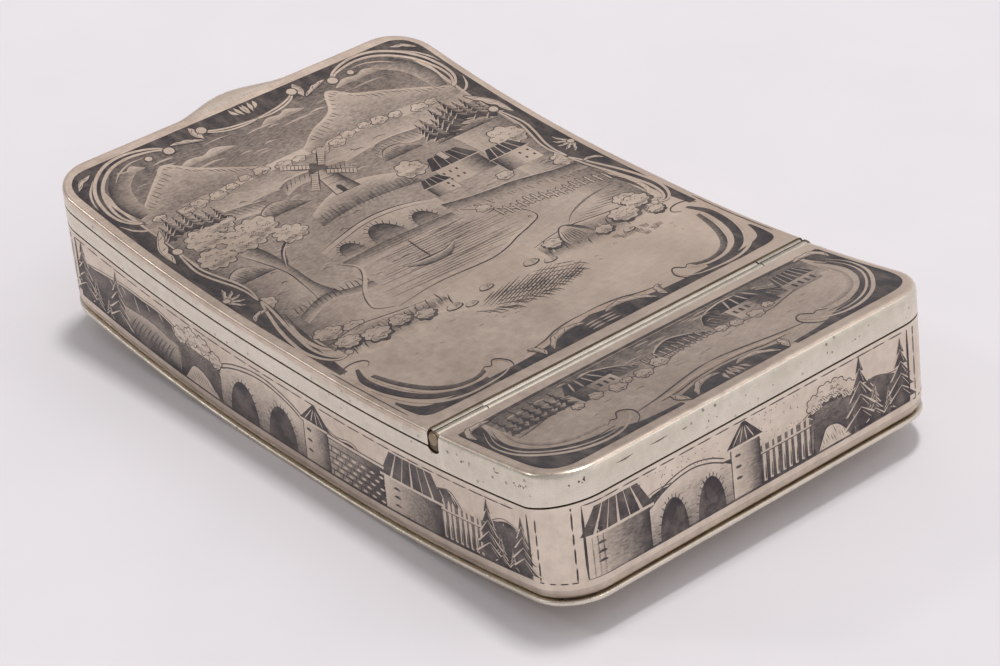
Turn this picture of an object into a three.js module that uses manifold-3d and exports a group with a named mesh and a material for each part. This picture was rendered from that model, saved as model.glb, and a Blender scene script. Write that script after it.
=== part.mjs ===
// A flat silver pocket snuff box, bent along its length, with a flush three-tube hinge.
// X runs along the box towards its fixed end cover, Y across it, Z up from the lowest point.
// Every piece is laid out flat, as if the box were straight, and its points are then bent.
import * as THREE from "three";
import { mergeVertices } from "three/addons/utils/BufferGeometryUtils.js";
import Module from "manifold-3d";

const wasm = await Module();
wasm.setup();

// Driving dimensions, in millimetres
const bodyLength = 86; // over the end walls, at the foot
const bodyWidth = 51.2; // over the side walls
const cornerRadius = 5.2; // corners of the box, seen from above
const bendRise = 3.7; // how far the ends stand above the middle
const restLength = 8; // flat stretch in the middle that the box stands on
const coverEndLean = 0.0017; // shortening of the +X half for each millimetre of height
const lidEndLean = -0.0005; // the same for the -X half, whose end leans out a little
const sheet = 0.8; // thickness of the wall and rim bands
const plate = 0.7; // thickness of the bottom, the lid and the cover
const plateBevel = 0.18; // broken edges of the bottom and of the lid's underside
const seam = 0.3; // joint between neighbouring pieces
const flangeReach = 0.05; // how far the bottom edge stands out of the walls
const wallHeight = 9.5; // engraved wall band
const endSeamRise = 0.7; // how much higher that band and the cover's lower edge are at the +X end
const footInset = 0.9; // how far the wall curves in at its foot
const footHeight = 1.8; // height of that curve
const collarHeight = 1.9; // plain band between the wall and the lid
const lidRimHeight = 0.65; // band under the lid plate
const lidEdgeRadius = 0.45; // rounding of the lid's upper edge
const coverEdgeRadius = 1.8; // rounding of the end cover's upper edge
const bezelThickness = 0.5; // upright strip inside the collar
const bezelDrop = 1.6; // how far that strip reaches down inside the wall
const hingePlace = 24.3; // hinge axis, from the middle of the box
const barrelRadius = 0.8; // hinge tubes, outside
const pinRadius = 0.35; // hinge pin
const pinClearance = 0.1; // between the pin and the tubes
const runningGap = 0.3; // round the barrel
const knuckleLength = 6.25; // each of the two hinge tubes on the body
const knuckleGap = 0.3; // between two hinge tubes
const plugThickness = 0.3; // head of the plug that closes the barrel's end
const plugLength = 1; // stem of that plug inside the tube
const seatHeight = 2; // cross bar under the hinge
const seatReach = 2.6; // how far that bar runs on under the cover, from the hinge axis
const lidSeatWidth = 1.2; // bar under the lid's hinge edge
const thumbWidth = 17; // lip on the lid's far edge
const thumbReach = 1.4; // how far the lip stands out of the lid
const thumbEndReach = 0.15; // what is left of that reach at the lip's two ends
const thumbThickness = 1; // height of the lip
const thumbBevel = 0.2; // fall of its upper face towards the tip

// Steps of the curved stretches
const lengthStep = 4;
const cornerSteps = 6;
const footSteps = 3;
const coverEdgeSteps = 4;
const lidEdgeSteps = 3;
const barrelSides = 24;
const thumbSteps = 10;

// Heights of the seams above the flat bottom
const wallBottom = plate + seam;
const wallTop = wallBottom + wallHeight;
const collarBottom = wallTop + seam;
const collarTop = collarBottom + collarHeight;
const lidBottom = collarTop + seam;
const lidPlateBottom = lidBottom + lidRimHeight + seam;
const top = lidPlateBottom + plate;

// Places along and across the box
const halfLength = bodyLength / 2;
const halfWidth = bodyWidth / 2;
const barrelClear = barrelRadius + runningGap;
const hingeHeight = top - barrelRadius;
const coverFront = hingePlace + barrelRadius / 2;
const lidBack = hingePlace - barrelClear;
const barrelEnd = halfWidth - plugThickness - seam / 2;
const boreRadius = pinRadius + pinClearance;

// The lip reaches further than the foot does, so the middle of the box lies a little beside the origin
const thumbTip = (halfLength + seam + thumbReach) * (1 - lidEndLean * (top - thumbBevel));
const footTip = (halfLength + flangeReach) * (1 - coverEndLean * plateBevel);
const middleX = (thumbTip - footTip) / 2;

// Where a point of the flat layout comes to lie: s along the box from its middle, y across, h up
function bent(s, y, h) {
  const run = Math.max(0, Math.abs(s) - restLength / 2) / (halfLength - restLength / 2);
  const lean = s > 0 ? coverEndLean : lidEndLean;
  return [middleX + s * (1 - lean * h), y, h + bendRise * run ** 2];
}

const silver = new THREE.MeshStandardMaterial({ color: 0xb3a79c, roughness: 0.38, metalness: 1 });
const wornSilver = new THREE.MeshStandardMaterial({ color: 0xc9c2b0, roughness: 0.32, metalness: 1 });
const gilt = new THREE.MeshStandardMaterial({ color: 0xc59f55, roughness: 0.3, metalness: 1 });
const brass = new THREE.MeshStandardMaterial({ color: 0xa98d55, roughness: 0.4, metalness: 1 });

// A closed body from points and faces, turned so that its faces point out
function closedBody(points, faces) {
  const corner = faces.map((face) => face.map((k) => new THREE.Vector3(...points[k])));
  const volume = corner.reduce((sum, [a, b, c]) => sum + a.dot(b.clone().cross(c)), 0);
  const order = volume < 0 ? faces.map(([a, b, c]) => [a, c, b]) : faces;
  const geometry = new THREE.BufferGeometry();
  geometry.setAttribute("position", new THREE.Float32BufferAttribute(points.flat(), 3));
  geometry.setIndex(order.flat());
  return geometry;
}

const quad = (a, b, c, d) => [[a, b, c], [a, c, d]];

// Places along a long side, fine enough for the bend, with one at each end of the flat stretch
function stations(from, to) {
  const flatEnds = [-restLength / 2, restLength / 2].filter((s) => s > from && s < to);
  const marks = [from, ...flatEnds, to];
  const places = [from];
  for (let k = 1; k < marks.length; k++) {
    const span = marks[k] - marks[k - 1];
    const inRest = Math.abs(marks[k] + marks[k - 1]) < 1e-9;
    const steps = inRest ? 1 : Math.ceil(span / lengthStep);
    for (let n = 1; n <= steps; n++) places.push(marks[k - 1] + (span * n) / steps);
  }
  return places;
}

// The +Y half of the box's outline between two places, from the +X end, with outward directions
function halfOutline(from, to) {
  const straight = halfLength - cornerRadius;
  const points = [];
  const corner = (centre, start) => {
    for (let k = 0; k <= cornerSteps; k++) {
      const angle = start + (Math.PI / 2) * (k / cornerSteps);
      const [c, s] = [Math.cos(angle), Math.sin(angle)];
      points.push([centre + cornerRadius * c, halfWidth - cornerRadius + cornerRadius * s, c, s]);
    }
  };
  if (to > straight) corner(straight, 0);
  const side = stations(Math.max(from, -straight), Math.min(to, straight)).reverse();
  const used = side.slice(to > straight ? 1 : 0, from < -straight ? -1 : undefined);
  for (const s of used) points.push([s, halfWidth, 0, 1]);
  if (from < -straight) corner(-straight, Math.PI / 2);
  return points;
}

// The outline all round: the +Y half, then the -Y half back again
function outline(from, to) {
  const half = halfOutline(from, to);
  const mirrored = half.map(([s, y, ns, ny]) => [s, -y, ns, -ny]).reverse();
  return [...half, ...mirrored];
}

// Points of a section, given as [offset outwards, height, on the seam], at every point of an outline.
// A point on the seam goes up with it round the +X end.
function sectionsAlong(path, section) {
  return path.flatMap(([s, y, ns, ny]) =>
    section.map(([out, h, onSeam]) => {
      const rise = onSeam ? endSeamRise * Math.max(0, ns) : 0;
      return bent(s + ns * out, y + ny * out, h + rise);
    }),
  );
}

// A band with a closed section that follows the outline, all round or open at its ends
function band(from, to, section) {
  const closed = from <= -halfLength && to >= halfLength;
  const path = outline(from, to);
  const points = sectionsAlong(path, section);
  const size = section.length;
  const faces = [];
  // The -Y half follows the +Y half, so an open band is one run with its ends at the +X side
  const spans = closed ? path.length : path.length - 1;
  for (let k = 0; k < spans; k++) {
    const here = k * size;
    const next = ((k + 1) % path.length) * size;
    for (let n = 0; n < size; n++) {
      const m = (n + 1) % size;
      faces.push(...quad(here + n, next + n, next + m, here + m));
    }
  }
  if (!closed) {
    const flat = section.map(([out, h]) => new THREE.Vector2(out, h));
    const last = (path.length - 1) * size;
    for (const [a, b, c] of THREE.ShapeUtils.triangulateShape(flat, [])) {
      faces.push([a, b, c], [last + a, last + c, last + b]);
    }
  }
  return closedBody(points, faces);
}

// A plate inside the outline whose edge follows an open section, from its lower face to its upper one
function sheetPlate(from, to, edge) {
  const path = outline(from, to);
  const points = sectionsAlong(path, edge);
  const size = edge.length;
  const count = path.length;
  const faces = [];
  for (let k = 0; k < count; k++) {
    const here = k * size;
    const next = ((k + 1) % count) * size;
    for (let n = 0; n + 1 < size; n++) faces.push(...quad(here + n, next + n, next + n + 1, here + n + 1));
  }
  for (let k = 0; k + 1 < count / 2; k++) {
    const across = count - 1 - k;
    const low = [k, k + 1, across - 1, across].map((n) => n * size);
    const high = low.map((n) => n + size - 1);
    faces.push(...quad(low[0], low[3], low[2], low[1]), ...quad(...high));
  }
  return closedBody(points, faces);
}

// A straight bar across the box, whose section is given as [place along the box, height]
function crossBar(section, fromY, toY) {
  const shape = new THREE.Shape(
    section.map(([s, h]) => {
      const [x, , z] = bent(s, 0, h);
      return new THREE.Vector2(x, z);
    }),
  );
  const bar = new THREE.ExtrudeGeometry(shape, { depth: toY - fromY, bevelEnabled: false });
  return bar.rotateX(Math.PI / 2).translate(0, toY, 0);
}

const [hingeX, , hingeZ] = bent(hingePlace, 0, hingeHeight);

// A round piece about the hinge axis, from a closed profile of [radius, place across the box]
function hingeTurned(profile) {
  const points = [...profile, profile[0]].map(([r, y]) => new THREE.Vector2(r, y));
  return new THREE.LatheGeometry(points, barrelSides).translate(hingeX, 0, hingeZ);
}

const tube = (outer, inner, fromY, toY) =>
  hingeTurned([[inner, fromY], [outer, fromY], [outer, toY], [inner, toY]]);
const rod = (radius, fromY, toY) => hingeTurned([[0, fromY], [radius, fromY], [radius, toY], [0, toY]]);

function toSolid(geometry) {
  const bare = geometry.clone();
  bare.deleteAttribute("normal");
  bare.deleteAttribute("uv");
  const merged = mergeVertices(bare, 1e-4);
  return new wasm.Manifold(
    new wasm.Mesh({
      numProp: 3,
      vertProperties: new Float32Array(merged.attributes.position.array),
      triVerts: new Uint32Array(merged.index.array),
    }),
  );
}

function toGeometry(solid) {
  const mesh = solid.getMesh();
  const geometry = new THREE.BufferGeometry();
  geometry.setAttribute("position", new THREE.BufferAttribute(new Float32Array(mesh.vertProperties), 3));
  geometry.setIndex(new THREE.BufferAttribute(new Uint32Array(mesh.triVerts), 1));
  return geometry;
}

// Cuts tools out of a piece
const cut = (piece, ...tools) =>
  toGeometry(tools.reduce((solid, tool) => solid.subtract(toSolid(tool)), toSolid(piece)));

// The room that the hinge barrel needs, right across the box
const barrelRoom = () => rod(barrelClear, -bodyWidth, bodyWidth);

// Body of the box
const bottomPlate = sheetPlate(-halfLength, halfLength, [
  [flangeReach - plateBevel, 0],
  [flangeReach, plateBevel],
  [flangeReach, plate - plateBevel],
  [flangeReach - plateBevel, plate],
]);

// Curve of the wall's foot, as [offset, height] from its lower edge up
const footCurve = Array.from({ length: footSteps + 1 }, (_, k) => {
  const angle = (Math.PI / 2) * (k / footSteps);
  return [footInset * (Math.sin(angle) - 1), wallBottom + footHeight * (1 - Math.cos(angle))];
});
const wallBand = band(-halfLength, halfLength, [
  ...footCurve,
  [0, wallTop, true],
  [-sheet, wallTop, true],
  [-sheet, wallBottom + footHeight],
  [-footInset - sheet, wallBottom],
]);

const collarEnd = coverFront - seam;
const collarBand = cut(
  band(-halfLength, collarEnd, [
    [-sheet, collarBottom],
    [0, collarBottom],
    [0, collarTop],
    [-sheet, collarTop],
  ]),
  barrelRoom(),
);

const bezelOuter = -sheet - seam;
const bezelTop = lidPlateBottom - seam;
const bezelEnd = lidBack - lidSeatWidth - seam;
const innerBezel = band(-halfLength, bezelEnd, [
  [bezelOuter - bezelThickness, wallTop - bezelDrop],
  [bezelOuter, wallTop - bezelDrop],
  [bezelOuter, bezelTop],
  [bezelOuter - bezelThickness, bezelTop],
]);

// Rounding of an upper edge, as [offset, height] from the side to the top
function roundedEdge(radius, steps) {
  return Array.from({ length: steps + 1 }, (_, k) => {
    const angle = (Math.PI / 2) * (k / steps);
    return [radius * (Math.cos(angle) - 1), top + radius * (Math.sin(angle) - 1)];
  });
}

const coverOutside = sheetPlate(coverFront, halfLength, [
  [0, collarBottom, true],
  ...roundedEdge(coverEdgeRadius, coverEdgeSteps),
]);
const coverInside = sheetPlate(coverFront - sheet, halfLength, [
  [-sheet, collarBottom - sheet],
  [-sheet, top - plate - coverEdgeRadius / 3],
  [-sheet - coverEdgeRadius / 3, top - plate],
]);
const endCover = cut(coverOutside, coverInside, barrelRoom());

const seatSide = halfWidth - sheet - seam;
const seatTop = lidPlateBottom - seam;
const seatBottom = seatTop - barrelClear - seatHeight;
const bodyHingeSeat = cut(
  crossBar(
    [
      [hingePlace - barrelRadius, seatBottom],
      [hingePlace + seatReach, seatBottom],
      [hingePlace + seatReach, seatTop],
      [hingePlace, seatTop],
      [hingePlace - barrelRadius, hingeHeight - barrelClear],
    ],
    -seatSide,
    seatSide,
  ),
  barrelRoom(),
);

// Hinge tubes, pin and plugs
const knuckleJoint = barrelEnd - knuckleLength;
const bodyKnuckleLeft = tube(barrelRadius, boreRadius, -barrelEnd, -knuckleJoint);
const bodyKnuckleRight = tube(barrelRadius, boreRadius, knuckleJoint, barrelEnd);
const lidKnuckle = tube(barrelRadius, boreRadius, knuckleGap - knuckleJoint, knuckleJoint - knuckleGap);
const pinEnd = barrelEnd - plugLength - seam;
const hingePin = rod(pinRadius, -pinEnd, pinEnd);

function hingePlug(side) {
  const head = side * (barrelEnd + plugThickness + seam / 2);
  const shoulder = side * (barrelEnd + seam / 2);
  const tip = side * (barrelEnd - plugLength);
  const stem = [[0, tip], [pinRadius, tip], [pinRadius, shoulder]];
  const profile = [...stem, [barrelRadius, shoulder], [barrelRadius, head], [0, head]];
  return hingeTurned(side > 0 ? profile : profile.reverse());
}

// Lid
const lidPlate = cut(
  sheetPlate(-halfLength, hingePlace - barrelRadius / 2, [
    [-plateBevel, lidPlateBottom],
    [0, lidPlateBottom + plateBevel],
    ...roundedEdge(lidEdgeRadius, lidEdgeSteps),
  ]),
  barrelRoom(),
);

const lidRim = band(-halfLength, lidBack - seam, [
  [-sheet, lidBottom],
  [0, lidBottom],
  [0, lidBottom + lidRimHeight],
  [-sheet, lidBottom + lidRimHeight],
]);

const lidSeatSide = halfWidth - sheet - seam;
const lidHingeSeat = crossBar(
  [
    [lidBack - lidSeatWidth, lidBottom],
    [lidBack, lidBottom],
    [lidBack, lidPlateBottom - seam],
    [lidBack - lidSeatWidth, lidPlateBottom - seam],
  ],
  -lidSeatSide,
  lidSeatSide,
);

// The lip swells smoothly out of the lid's far edge and dies away at both sides
function thumbPieceGeometry() {
  const inner = -halfLength - seam;
  const shape = [];
  for (let k = 0; k <= thumbSteps; k++) {
    const swell = (1 - Math.cos((2 * Math.PI * k) / thumbSteps)) / 2;
    shape.push([thumbWidth * (k / thumbSteps - 0.5), thumbEndReach + (thumbReach - thumbEndReach) * swell]);
  }
  const points = [];
  for (const [y, out] of shape) {
    points.push(bent(inner, y, top - thumbThickness), bent(inner - out, y, top - thumbThickness));
    points.push(bent(inner - out, y, top - thumbBevel), bent(inner, y, top));
  }
  const faces = [];
  const last = (shape.length - 1) * 4;
  for (let k = 0; k < last; k += 4) {
    for (let n = 0; n < 4; n++) {
      const m = (n + 1) % 4;
      faces.push(...quad(k + n, k + 4 + n, k + 4 + m, k + m));
    }
  }
  faces.push(...quad(0, 1, 2, 3), ...quad(last + 3, last + 2, last + 1, last));
  return closedBody(points, faces);
}

function piece(name, geometry, material) {
  const mesh = new THREE.Mesh(geometry, material);
  mesh.name = name;
  return mesh;
}

const body = new THREE.Group();
body.add(
  piece("bottom_plate", bottomPlate, silver),
  piece("wall_band", wallBand, silver),
  piece("collar_band", collarBand, wornSilver),
  piece("inner_bezel", innerBezel, gilt),
  piece("end_cover", endCover, silver),
  piece("body_hinge_seat", bodyHingeSeat, gilt),
  piece("body_knuckle_left", bodyKnuckleLeft, wornSilver),
  piece("body_knuckle_right", bodyKnuckleRight, wornSilver),
  piece("hinge_pin", hingePin, brass),
  piece("hinge_plug_left", hingePlug(-1), brass),
  piece("hinge_plug_right", hingePlug(1), brass),
);

const lid = new THREE.Group();
lid.add(
  piece("lid_plate", lidPlate, silver),
  piece("lid_rim", lidRim, wornSilver),
  piece("lid_hinge_seat", lidHingeSeat, gilt),
  piece("lid_knuckle", lidKnuckle, wornSilver),
  piece("thumb_piece", thumbPieceGeometry(), wornSilver),
);

const snuffBox = new THREE.Group();
snuffBox.add(body, lid);

export default snuffBox;
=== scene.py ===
"""Nielloed silver snuff box: fine pieces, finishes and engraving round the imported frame."""
import math
import random

import bmesh
import bpy
from mathutils import Matrix, Vector


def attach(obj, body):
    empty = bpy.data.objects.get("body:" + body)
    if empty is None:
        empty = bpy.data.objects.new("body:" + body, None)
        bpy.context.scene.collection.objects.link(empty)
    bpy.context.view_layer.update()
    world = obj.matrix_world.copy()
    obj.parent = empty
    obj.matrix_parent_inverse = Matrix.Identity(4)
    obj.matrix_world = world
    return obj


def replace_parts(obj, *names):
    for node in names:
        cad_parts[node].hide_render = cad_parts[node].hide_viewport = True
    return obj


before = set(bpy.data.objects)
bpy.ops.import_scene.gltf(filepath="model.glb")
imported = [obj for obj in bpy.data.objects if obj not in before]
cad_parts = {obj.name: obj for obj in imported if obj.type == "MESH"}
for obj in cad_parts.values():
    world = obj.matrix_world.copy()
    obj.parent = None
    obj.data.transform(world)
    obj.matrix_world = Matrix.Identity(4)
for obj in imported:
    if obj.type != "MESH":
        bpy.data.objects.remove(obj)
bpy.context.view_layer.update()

# Shape of the box in millimetres, laid out flat as in the part's source
MM = 0.001
HALF_LENGTH = 43.0
HALF_WIDTH = 25.6
CORNER = 5.2
SHEET = 0.8
TOP = 14.65
BEND_RISE = 3.7
HALF_REST = 4.0
COVER_LEAN = 0.0017
LID_LEAN = -0.0005
MIDDLE_X = 0.993065
SEAM_RISE = 0.7
WALL_TOP = 10.59
COLLAR_BOTTOM = 10.72
COLLAR_TOP = 12.79
LID_BOTTOM = 12.92
UNDERSIDE = 13.95
HINGE_S = 24.3
HINGE_H = 13.85
LID_BACK = 23.36
LID_SEAT = 22.0
COVER_FRONT = 25.04
DISC_S = 24.22
DISC_H = 13.5
DISC_RADIUS = 1.08


def bent(s, y, h):
    """Where a point of the flat layout comes to lie, in millimetres of the row frame."""
    run = max(0.0, abs(s) - HALF_REST) / (HALF_LENGTH - HALF_REST)
    lean = COVER_LEAN if s > 0 else LID_LEAN
    return (MIDDLE_X + s * (1 - lean * h), y, h + BEND_RISE * run ** 2)


# Finishes
PER_MM = 1 / MM
NIELLO_LIGHT = (0.07, 0.061, 0.067)
NIELLO_DARK = (0.028, 0.025, 0.03)
WORN_EDGE = (0.84, 0.77, 0.675)


def give(tree, place, value):
    """Fills an input with a value, or links another node's output to it."""
    if isinstance(value, bpy.types.NodeSocket):
        tree.links.new(value, place)
    else:
        place.default_value = (*value, 1) if place.type == "RGBA" else value


def node_in(tree, kind, *sources, **values):
    """A node with its settings, its named inputs and its first inputs filled in."""
    node = tree.nodes.new(kind)
    for name, value in values.items():
        if name in node.inputs:
            give(tree, node.inputs[name], value)
        else:
            setattr(node, name, value)
    for place, source in zip(node.inputs, sources):
        give(tree, place, source)
    return node


def worked_out(tree, operation, *sources, **values):
    """The result of a sum, product or the like."""
    return node_in(tree, "ShaderNodeMath", *sources, operation=operation, **values).outputs[0]


def along(tree, place, way):
    """How far a place lies in one direction."""
    return node_in(tree, "ShaderNodeVectorMath", place, way, operation="DOT_PRODUCT").outputs["Value"]


def ramp(tree, source, low, high, first=0.0, last=1.0):
    """A number between two marks of another one, brought to the range first to last."""
    return node_in(tree, "ShaderNodeMapRange", source, low, high, first, last, clamp=True).outputs["Result"]


def blended(tree, amount, first, second):
    """A colour between two others."""
    node = node_in(tree, "ShaderNodeMix", amount, data_type="RGBA")
    give(tree, node.inputs[6], first)
    give(tree, node.inputs[7], second)
    return node.outputs[2]


def times(colour, share):
    """A colour made lighter or darker."""
    return tuple(share * v for v in colour)


def noise(tree, place, scale, detail=3.0, stretch=(1, 1, 1), seed=0.0):
    """Noise whose scale is counted in features per millimetre."""
    mapping = node_in(tree, "ShaderNodeMapping", place, Scale=times(stretch, PER_MM),
                      Location=(seed, seed * 0.7, seed * 1.3))
    place = mapping.outputs["Vector"]
    return node_in(tree, "ShaderNodeTexNoise", place, Scale=scale, Detail=detail).outputs["Fac"]


def cells(tree, place, scale, seed):
    """How far a place is from the middle of the nearest of many scattered cells."""
    mapping = node_in(tree, "ShaderNodeMapping", place, Scale=(PER_MM,) * 3, Location=(seed,) * 3)
    return node_in(tree, "ShaderNodeTexVoronoi", mapping.outputs["Vector"], Scale=scale).outputs["Distance"]


def worn_inlay(tree, place, seed):
    """How much niello shows: the drawn tone, broken up by fine strokes where it is neither full nor bare."""
    tone = node_in(tree, "ShaderNodeAttribute", attribute_name="tone").outputs["Fac"]
    grain = ramp(tree, noise(tree, place, 3.4, 2, (1.3, 0.5, 1.6), seed + 17), 0.3, 0.7, -0.7, 0.7)
    middle = worked_out(tree, "MULTIPLY", tone, worked_out(tree, "SUBTRACT", 1, tone))
    broken = worked_out(tree, "MULTIPLY_ADD", middle, grain, tone, use_clamp=True)
    rubbed = ramp(tree, noise(tree, place, 0.5, 4, (0.7, 1.6, 1), seed + 29), 0.45, 0.75, 1.0, 0.8)
    return worked_out(tree, "MULTIPLY", broken, rubbed)


def pitting(tree, place, pits, holes, seed):
    """Small pits all over, and larger holes in places."""
    small = ramp(tree, cells(tree, place, 0.55, seed), 0.02, 0.075, pits, 0)
    if not holes:
        return small
    here = ramp(tree, noise(tree, place, 0.11, 2, seed=seed + 41), 0.47, 0.56, 0, holes)
    large = ramp(tree, cells(tree, place, 0.9, seed), 0.1, 0.2, 1, 0)
    return worked_out(tree, "MULTIPLY_ADD", large, here, small, use_clamp=True)


def metal(name, base, tarnish, rough, pits=0.3, stain=0.5, edge=0.0, holes=0.0, seed=0.0, painted_sheen_way=None):
    """Old metal: tarnish, niello where it is drawn, fine scratches, pits and brighter edges; on request a
    painted sheen that makes it lighter towards one side.
    """
    material = bpy.data.materials.new(name)
    material.use_nodes = True
    tree = material.node_tree
    shader = tree.nodes["Principled BSDF"]
    shader.inputs["Metallic"].default_value = 1
    place = node_in(tree, "ShaderNodeTexCoord").outputs["Object"]

    blotch = ramp(tree, noise(tree, place, 0.16, 4, seed=seed), 0.36, 0.68, 0, stain)
    cloud = ramp(tree, noise(tree, place, 0.9, 5, seed=seed + 3), 0.38, 0.7, 0, stain * 0.55)
    colour = blended(tree, cloud, blended(tree, blotch, base, tarnish), times(tarnish, 0.62))
    # Painted sheen: the colour grows lighter towards one side, standing in for light falling from there
    if painted_sheen_way:
        bright = blended(tree, blotch, times(base, 1.22), times(tarnish, 1.3))
        colour = blended(tree, ramp(tree, along(tree, place, painted_sheen_way), -0.018, 0.016), colour, bright)
    pit = pitting(tree, place, pits, holes, seed)
    colour = blended(tree, pit, colour, times(tarnish, 0.22))

    lines = noise(tree, place, 2.2, 2, (0.35, 5, 2), seed + 5)
    cross = noise(tree, place, 1.6, 2, (4, 0.4, 2), seed + 8)
    rub = worked_out(tree, "ADD", lines, cross)
    roughness = ramp(tree, rub, 0.7, 1.3, rough - 0.07, rough + 0.09)
    if edge:
        point = node_in(tree, "ShaderNodeNewGeometry").outputs["Pointiness"]
        worn = ramp(tree, point, 0.505, 0.56, 0, edge)
        colour = blended(tree, worn, colour, WORN_EDGE)
        roughness = worked_out(tree, "MULTIPLY_ADD", worn, -0.08, roughness)
    niello = blended(tree, cloud, NIELLO_LIGHT, NIELLO_DARK)
    colour = blended(tree, worn_inlay(tree, place, seed), colour, niello)
    give(tree, shader.inputs["Base Color"], colour)
    give(tree, shader.inputs["Roughness"], roughness)

    scratched = node_in(tree, "ShaderNodeBump", Strength=0.175, Distance=0.02 * MM, Height=rub)
    pitted = node_in(tree, "ShaderNodeBump", Strength=0.6, Distance=0.04 * MM, invert=True, Height=pit,
                     Normal=scratched.outputs["Normal"])
    uneven = node_in(tree, "ShaderNodeBump", Strength=0.25, Distance=0.1 * MM,
                     Height=noise(tree, place, 0.28, 2, seed=seed + 12), Normal=pitted.outputs["Normal"])
    give(tree, shader.inputs["Normal"], uneven.outputs["Normal"])
    return material


# The lid's top carries a painted sheen, lighter towards +Y
TOP_FINISH = {"base": (0.70, 0.565, 0.465), "tarnish": (0.47, 0.36, 0.29), "rough": 0.34, "stain": 0.6,
              "seed": 2, "painted_sheen_way": (-0.35, 0.94, 0)}
WALL_FINISH = {"base": (0.77, 0.665, 0.56), "tarnish": (0.58, 0.475, 0.385), "rough": 0.34, "stain": 0.5,
               "seed": 23}
SILVER = metal("old_silver", edge=0.5, **TOP_FINISH)
ENGRAVED_SILVER = metal("engraved_silver", **TOP_FINISH)
WALL_SILVER = metal("wall_silver", edge=0.4, **WALL_FINISH)
ENGRAVED_WALL = metal("engraved_wall", **WALL_FINISH)
# A darker, browner silver for the wall's foot: painted shade where the foot turns down towards the floor
FOOT_SHADED_SILVER = metal("foot_silver_painted_shade", (0.64, 0.54, 0.45), (0.46, 0.37, 0.30), 0.36, stain=0.6, edge=0.4, seed=23)
RIM_SILVER = metal("rim_silver", (0.75, 0.68, 0.58), (0.58, 0.525, 0.425), 0.33, pits=0.7, edge=0.5,
                   holes=0.9, seed=11)
# Gilding darkened almost to black: painted shade for the gaps and seams round the lid, collar, hinge and
# plugs
GAP_SHADE_GILT = metal("gilding_in_painted_gap_shade", (0.20, 0.15, 0.10), (0.12, 0.09, 0.06), 0.5, stain=0.7, seed=37)
KNUCKLE_SILVER = metal("knuckle_silver", (0.50, 0.44, 0.37), (0.35, 0.30, 0.24), 0.42, pits=0.5, stain=0.6,
                       edge=0.3, seed=13)
GILT = metal("gilding", (0.80, 0.56, 0.24), (0.62, 0.45, 0.24), 0.30, pits=0.15, seed=31)
BRASS = metal("old_brass", (0.40, 0.315, 0.21), (0.22, 0.165, 0.11), 0.42, pits=0.4, stain=0.7, seed=41)


# Building pieces from sections that follow the outline of the box

def spaced(start, stop, step):
    """Places from start to stop, no further apart than step."""
    count = max(1, math.ceil(abs(stop - start) / step - 1e-9))
    return [start + (stop - start) * k / count for k in range(count + 1)]


def outline(low, high, step=1.0, turns=14):
    """The box's outline between two places along it: points with outward directions, +Y half first."""
    straight = HALF_LENGTH - CORNER
    half = []

    def corner(centre, start):
        for k in range(turns + 1):
            angle = start + math.pi / 2 * k / turns
            c, s = math.cos(angle), math.sin(angle)
            half.append((centre + CORNER * c, HALF_WIDTH - CORNER + CORNER * s, c, s))

    side = spaced(min(high, straight), max(low, -straight), step)
    if high > straight:
        corner(straight, 0)
        side = side[1:]
    if low < -straight:
        side = side[:-1]
    half += [(s, HALF_WIDTH, 0.0, 1.0) for s in side]
    if low < -straight:
        corner(-straight, math.pi / 2)
    return half + [(s, -y, ns, -ny) for s, y, ns, ny in reversed(half)]


def turned_out(mesh):
    """Turns a closed mesh's faces so that they point out."""
    volume = 0.0
    for face in mesh.polygons:
        corners = [mesh.vertices[k].co for k in face.vertices]
        for a, b in zip(corners[1:], corners[2:]):
            volume += corners[0].dot(a.cross(b))
    if volume < 0:
        mesh.flip_normals()


def put_in_scene(name, mesh, body):
    """An object with this mesh that rides on a body."""
    thing = bpy.data.objects.new(name, mesh)
    bpy.context.scene.collection.objects.link(thing)
    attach(thing, body)
    return thing


class Form:
    """Points and faces of one piece, each face with the number of its finish."""

    def __init__(self):
        self.points = []
        self.faces = []
        self.finish = []

    def add(self, corners, finish=0):
        """One face, left out where its corners fall together."""
        if len(set(corners)) > 2:
            self.faces.append(corners)
            self.finish.append(finish)

    def place(self, s, y, h):
        """A point of the flat layout, bent with the box; gives its number."""
        self.points.append(bent(s, y, h))
        return len(self.points) - 1

    def join(self, here, there, finish=0):
        """Faces between two closed rows; finish is one number, or a list with one for each point."""
        for n in range(len(here)):
            m = (n + 1) % len(here)
            own = finish[m] if isinstance(finish, list) else finish
            self.add((here[n], there[n], there[m], here[m]), own)

    def tube(self, rows, finish=0):
        """Closed rows joined one after the other, with flat ends."""
        for here, there in zip(rows, rows[1:]):
            self.join(here, there, finish)
        end = finish[0] if isinstance(finish, list) else finish
        self.add(tuple(rows[0]), end)
        self.add(tuple(reversed(rows[-1])), end)

    def piece(self, name, finishes, body, slot, sharp=35):
        """The form as one piece, smooth but for the edges that are sharper than an angle."""
        mesh = bpy.data.meshes.new(name)
        mesh.from_pydata([times(p, MM) for p in self.points], [], self.faces)
        for material in finishes:
            mesh.materials.append(material)
        mesh.polygons.foreach_set("material_index", self.finish)
        mesh.update()
        turned_out(mesh)
        mesh.shade_smooth()
        mesh.set_sharp_from_angle(angle=math.radians(sharp))
        return put_in_scene(name, mesh, body)


def rings(form, path, section):
    """Rows of points, one for each point of the path. A section point is (out, height, on the seam, back)."""
    rows = []
    for k, (s, y, ns, ny) in enumerate(path):
        row = []
        at_back = k in (0, len(path) - 1)
        for out, h, on_seam, back in section(s) if callable(section) else section:
            rise = SEAM_RISE * max(0.0, ns) if on_seam else 0.0
            place = back if at_back and back is not None else s + ns * out
            row.append(form.place(place, y + ny * out, h + rise))
        rows.append(row)
    return rows


def entry(out, h, on_seam=False, back=None, finish=0):
    """One point of a section."""
    return (out, h, on_seam, back), finish


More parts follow.
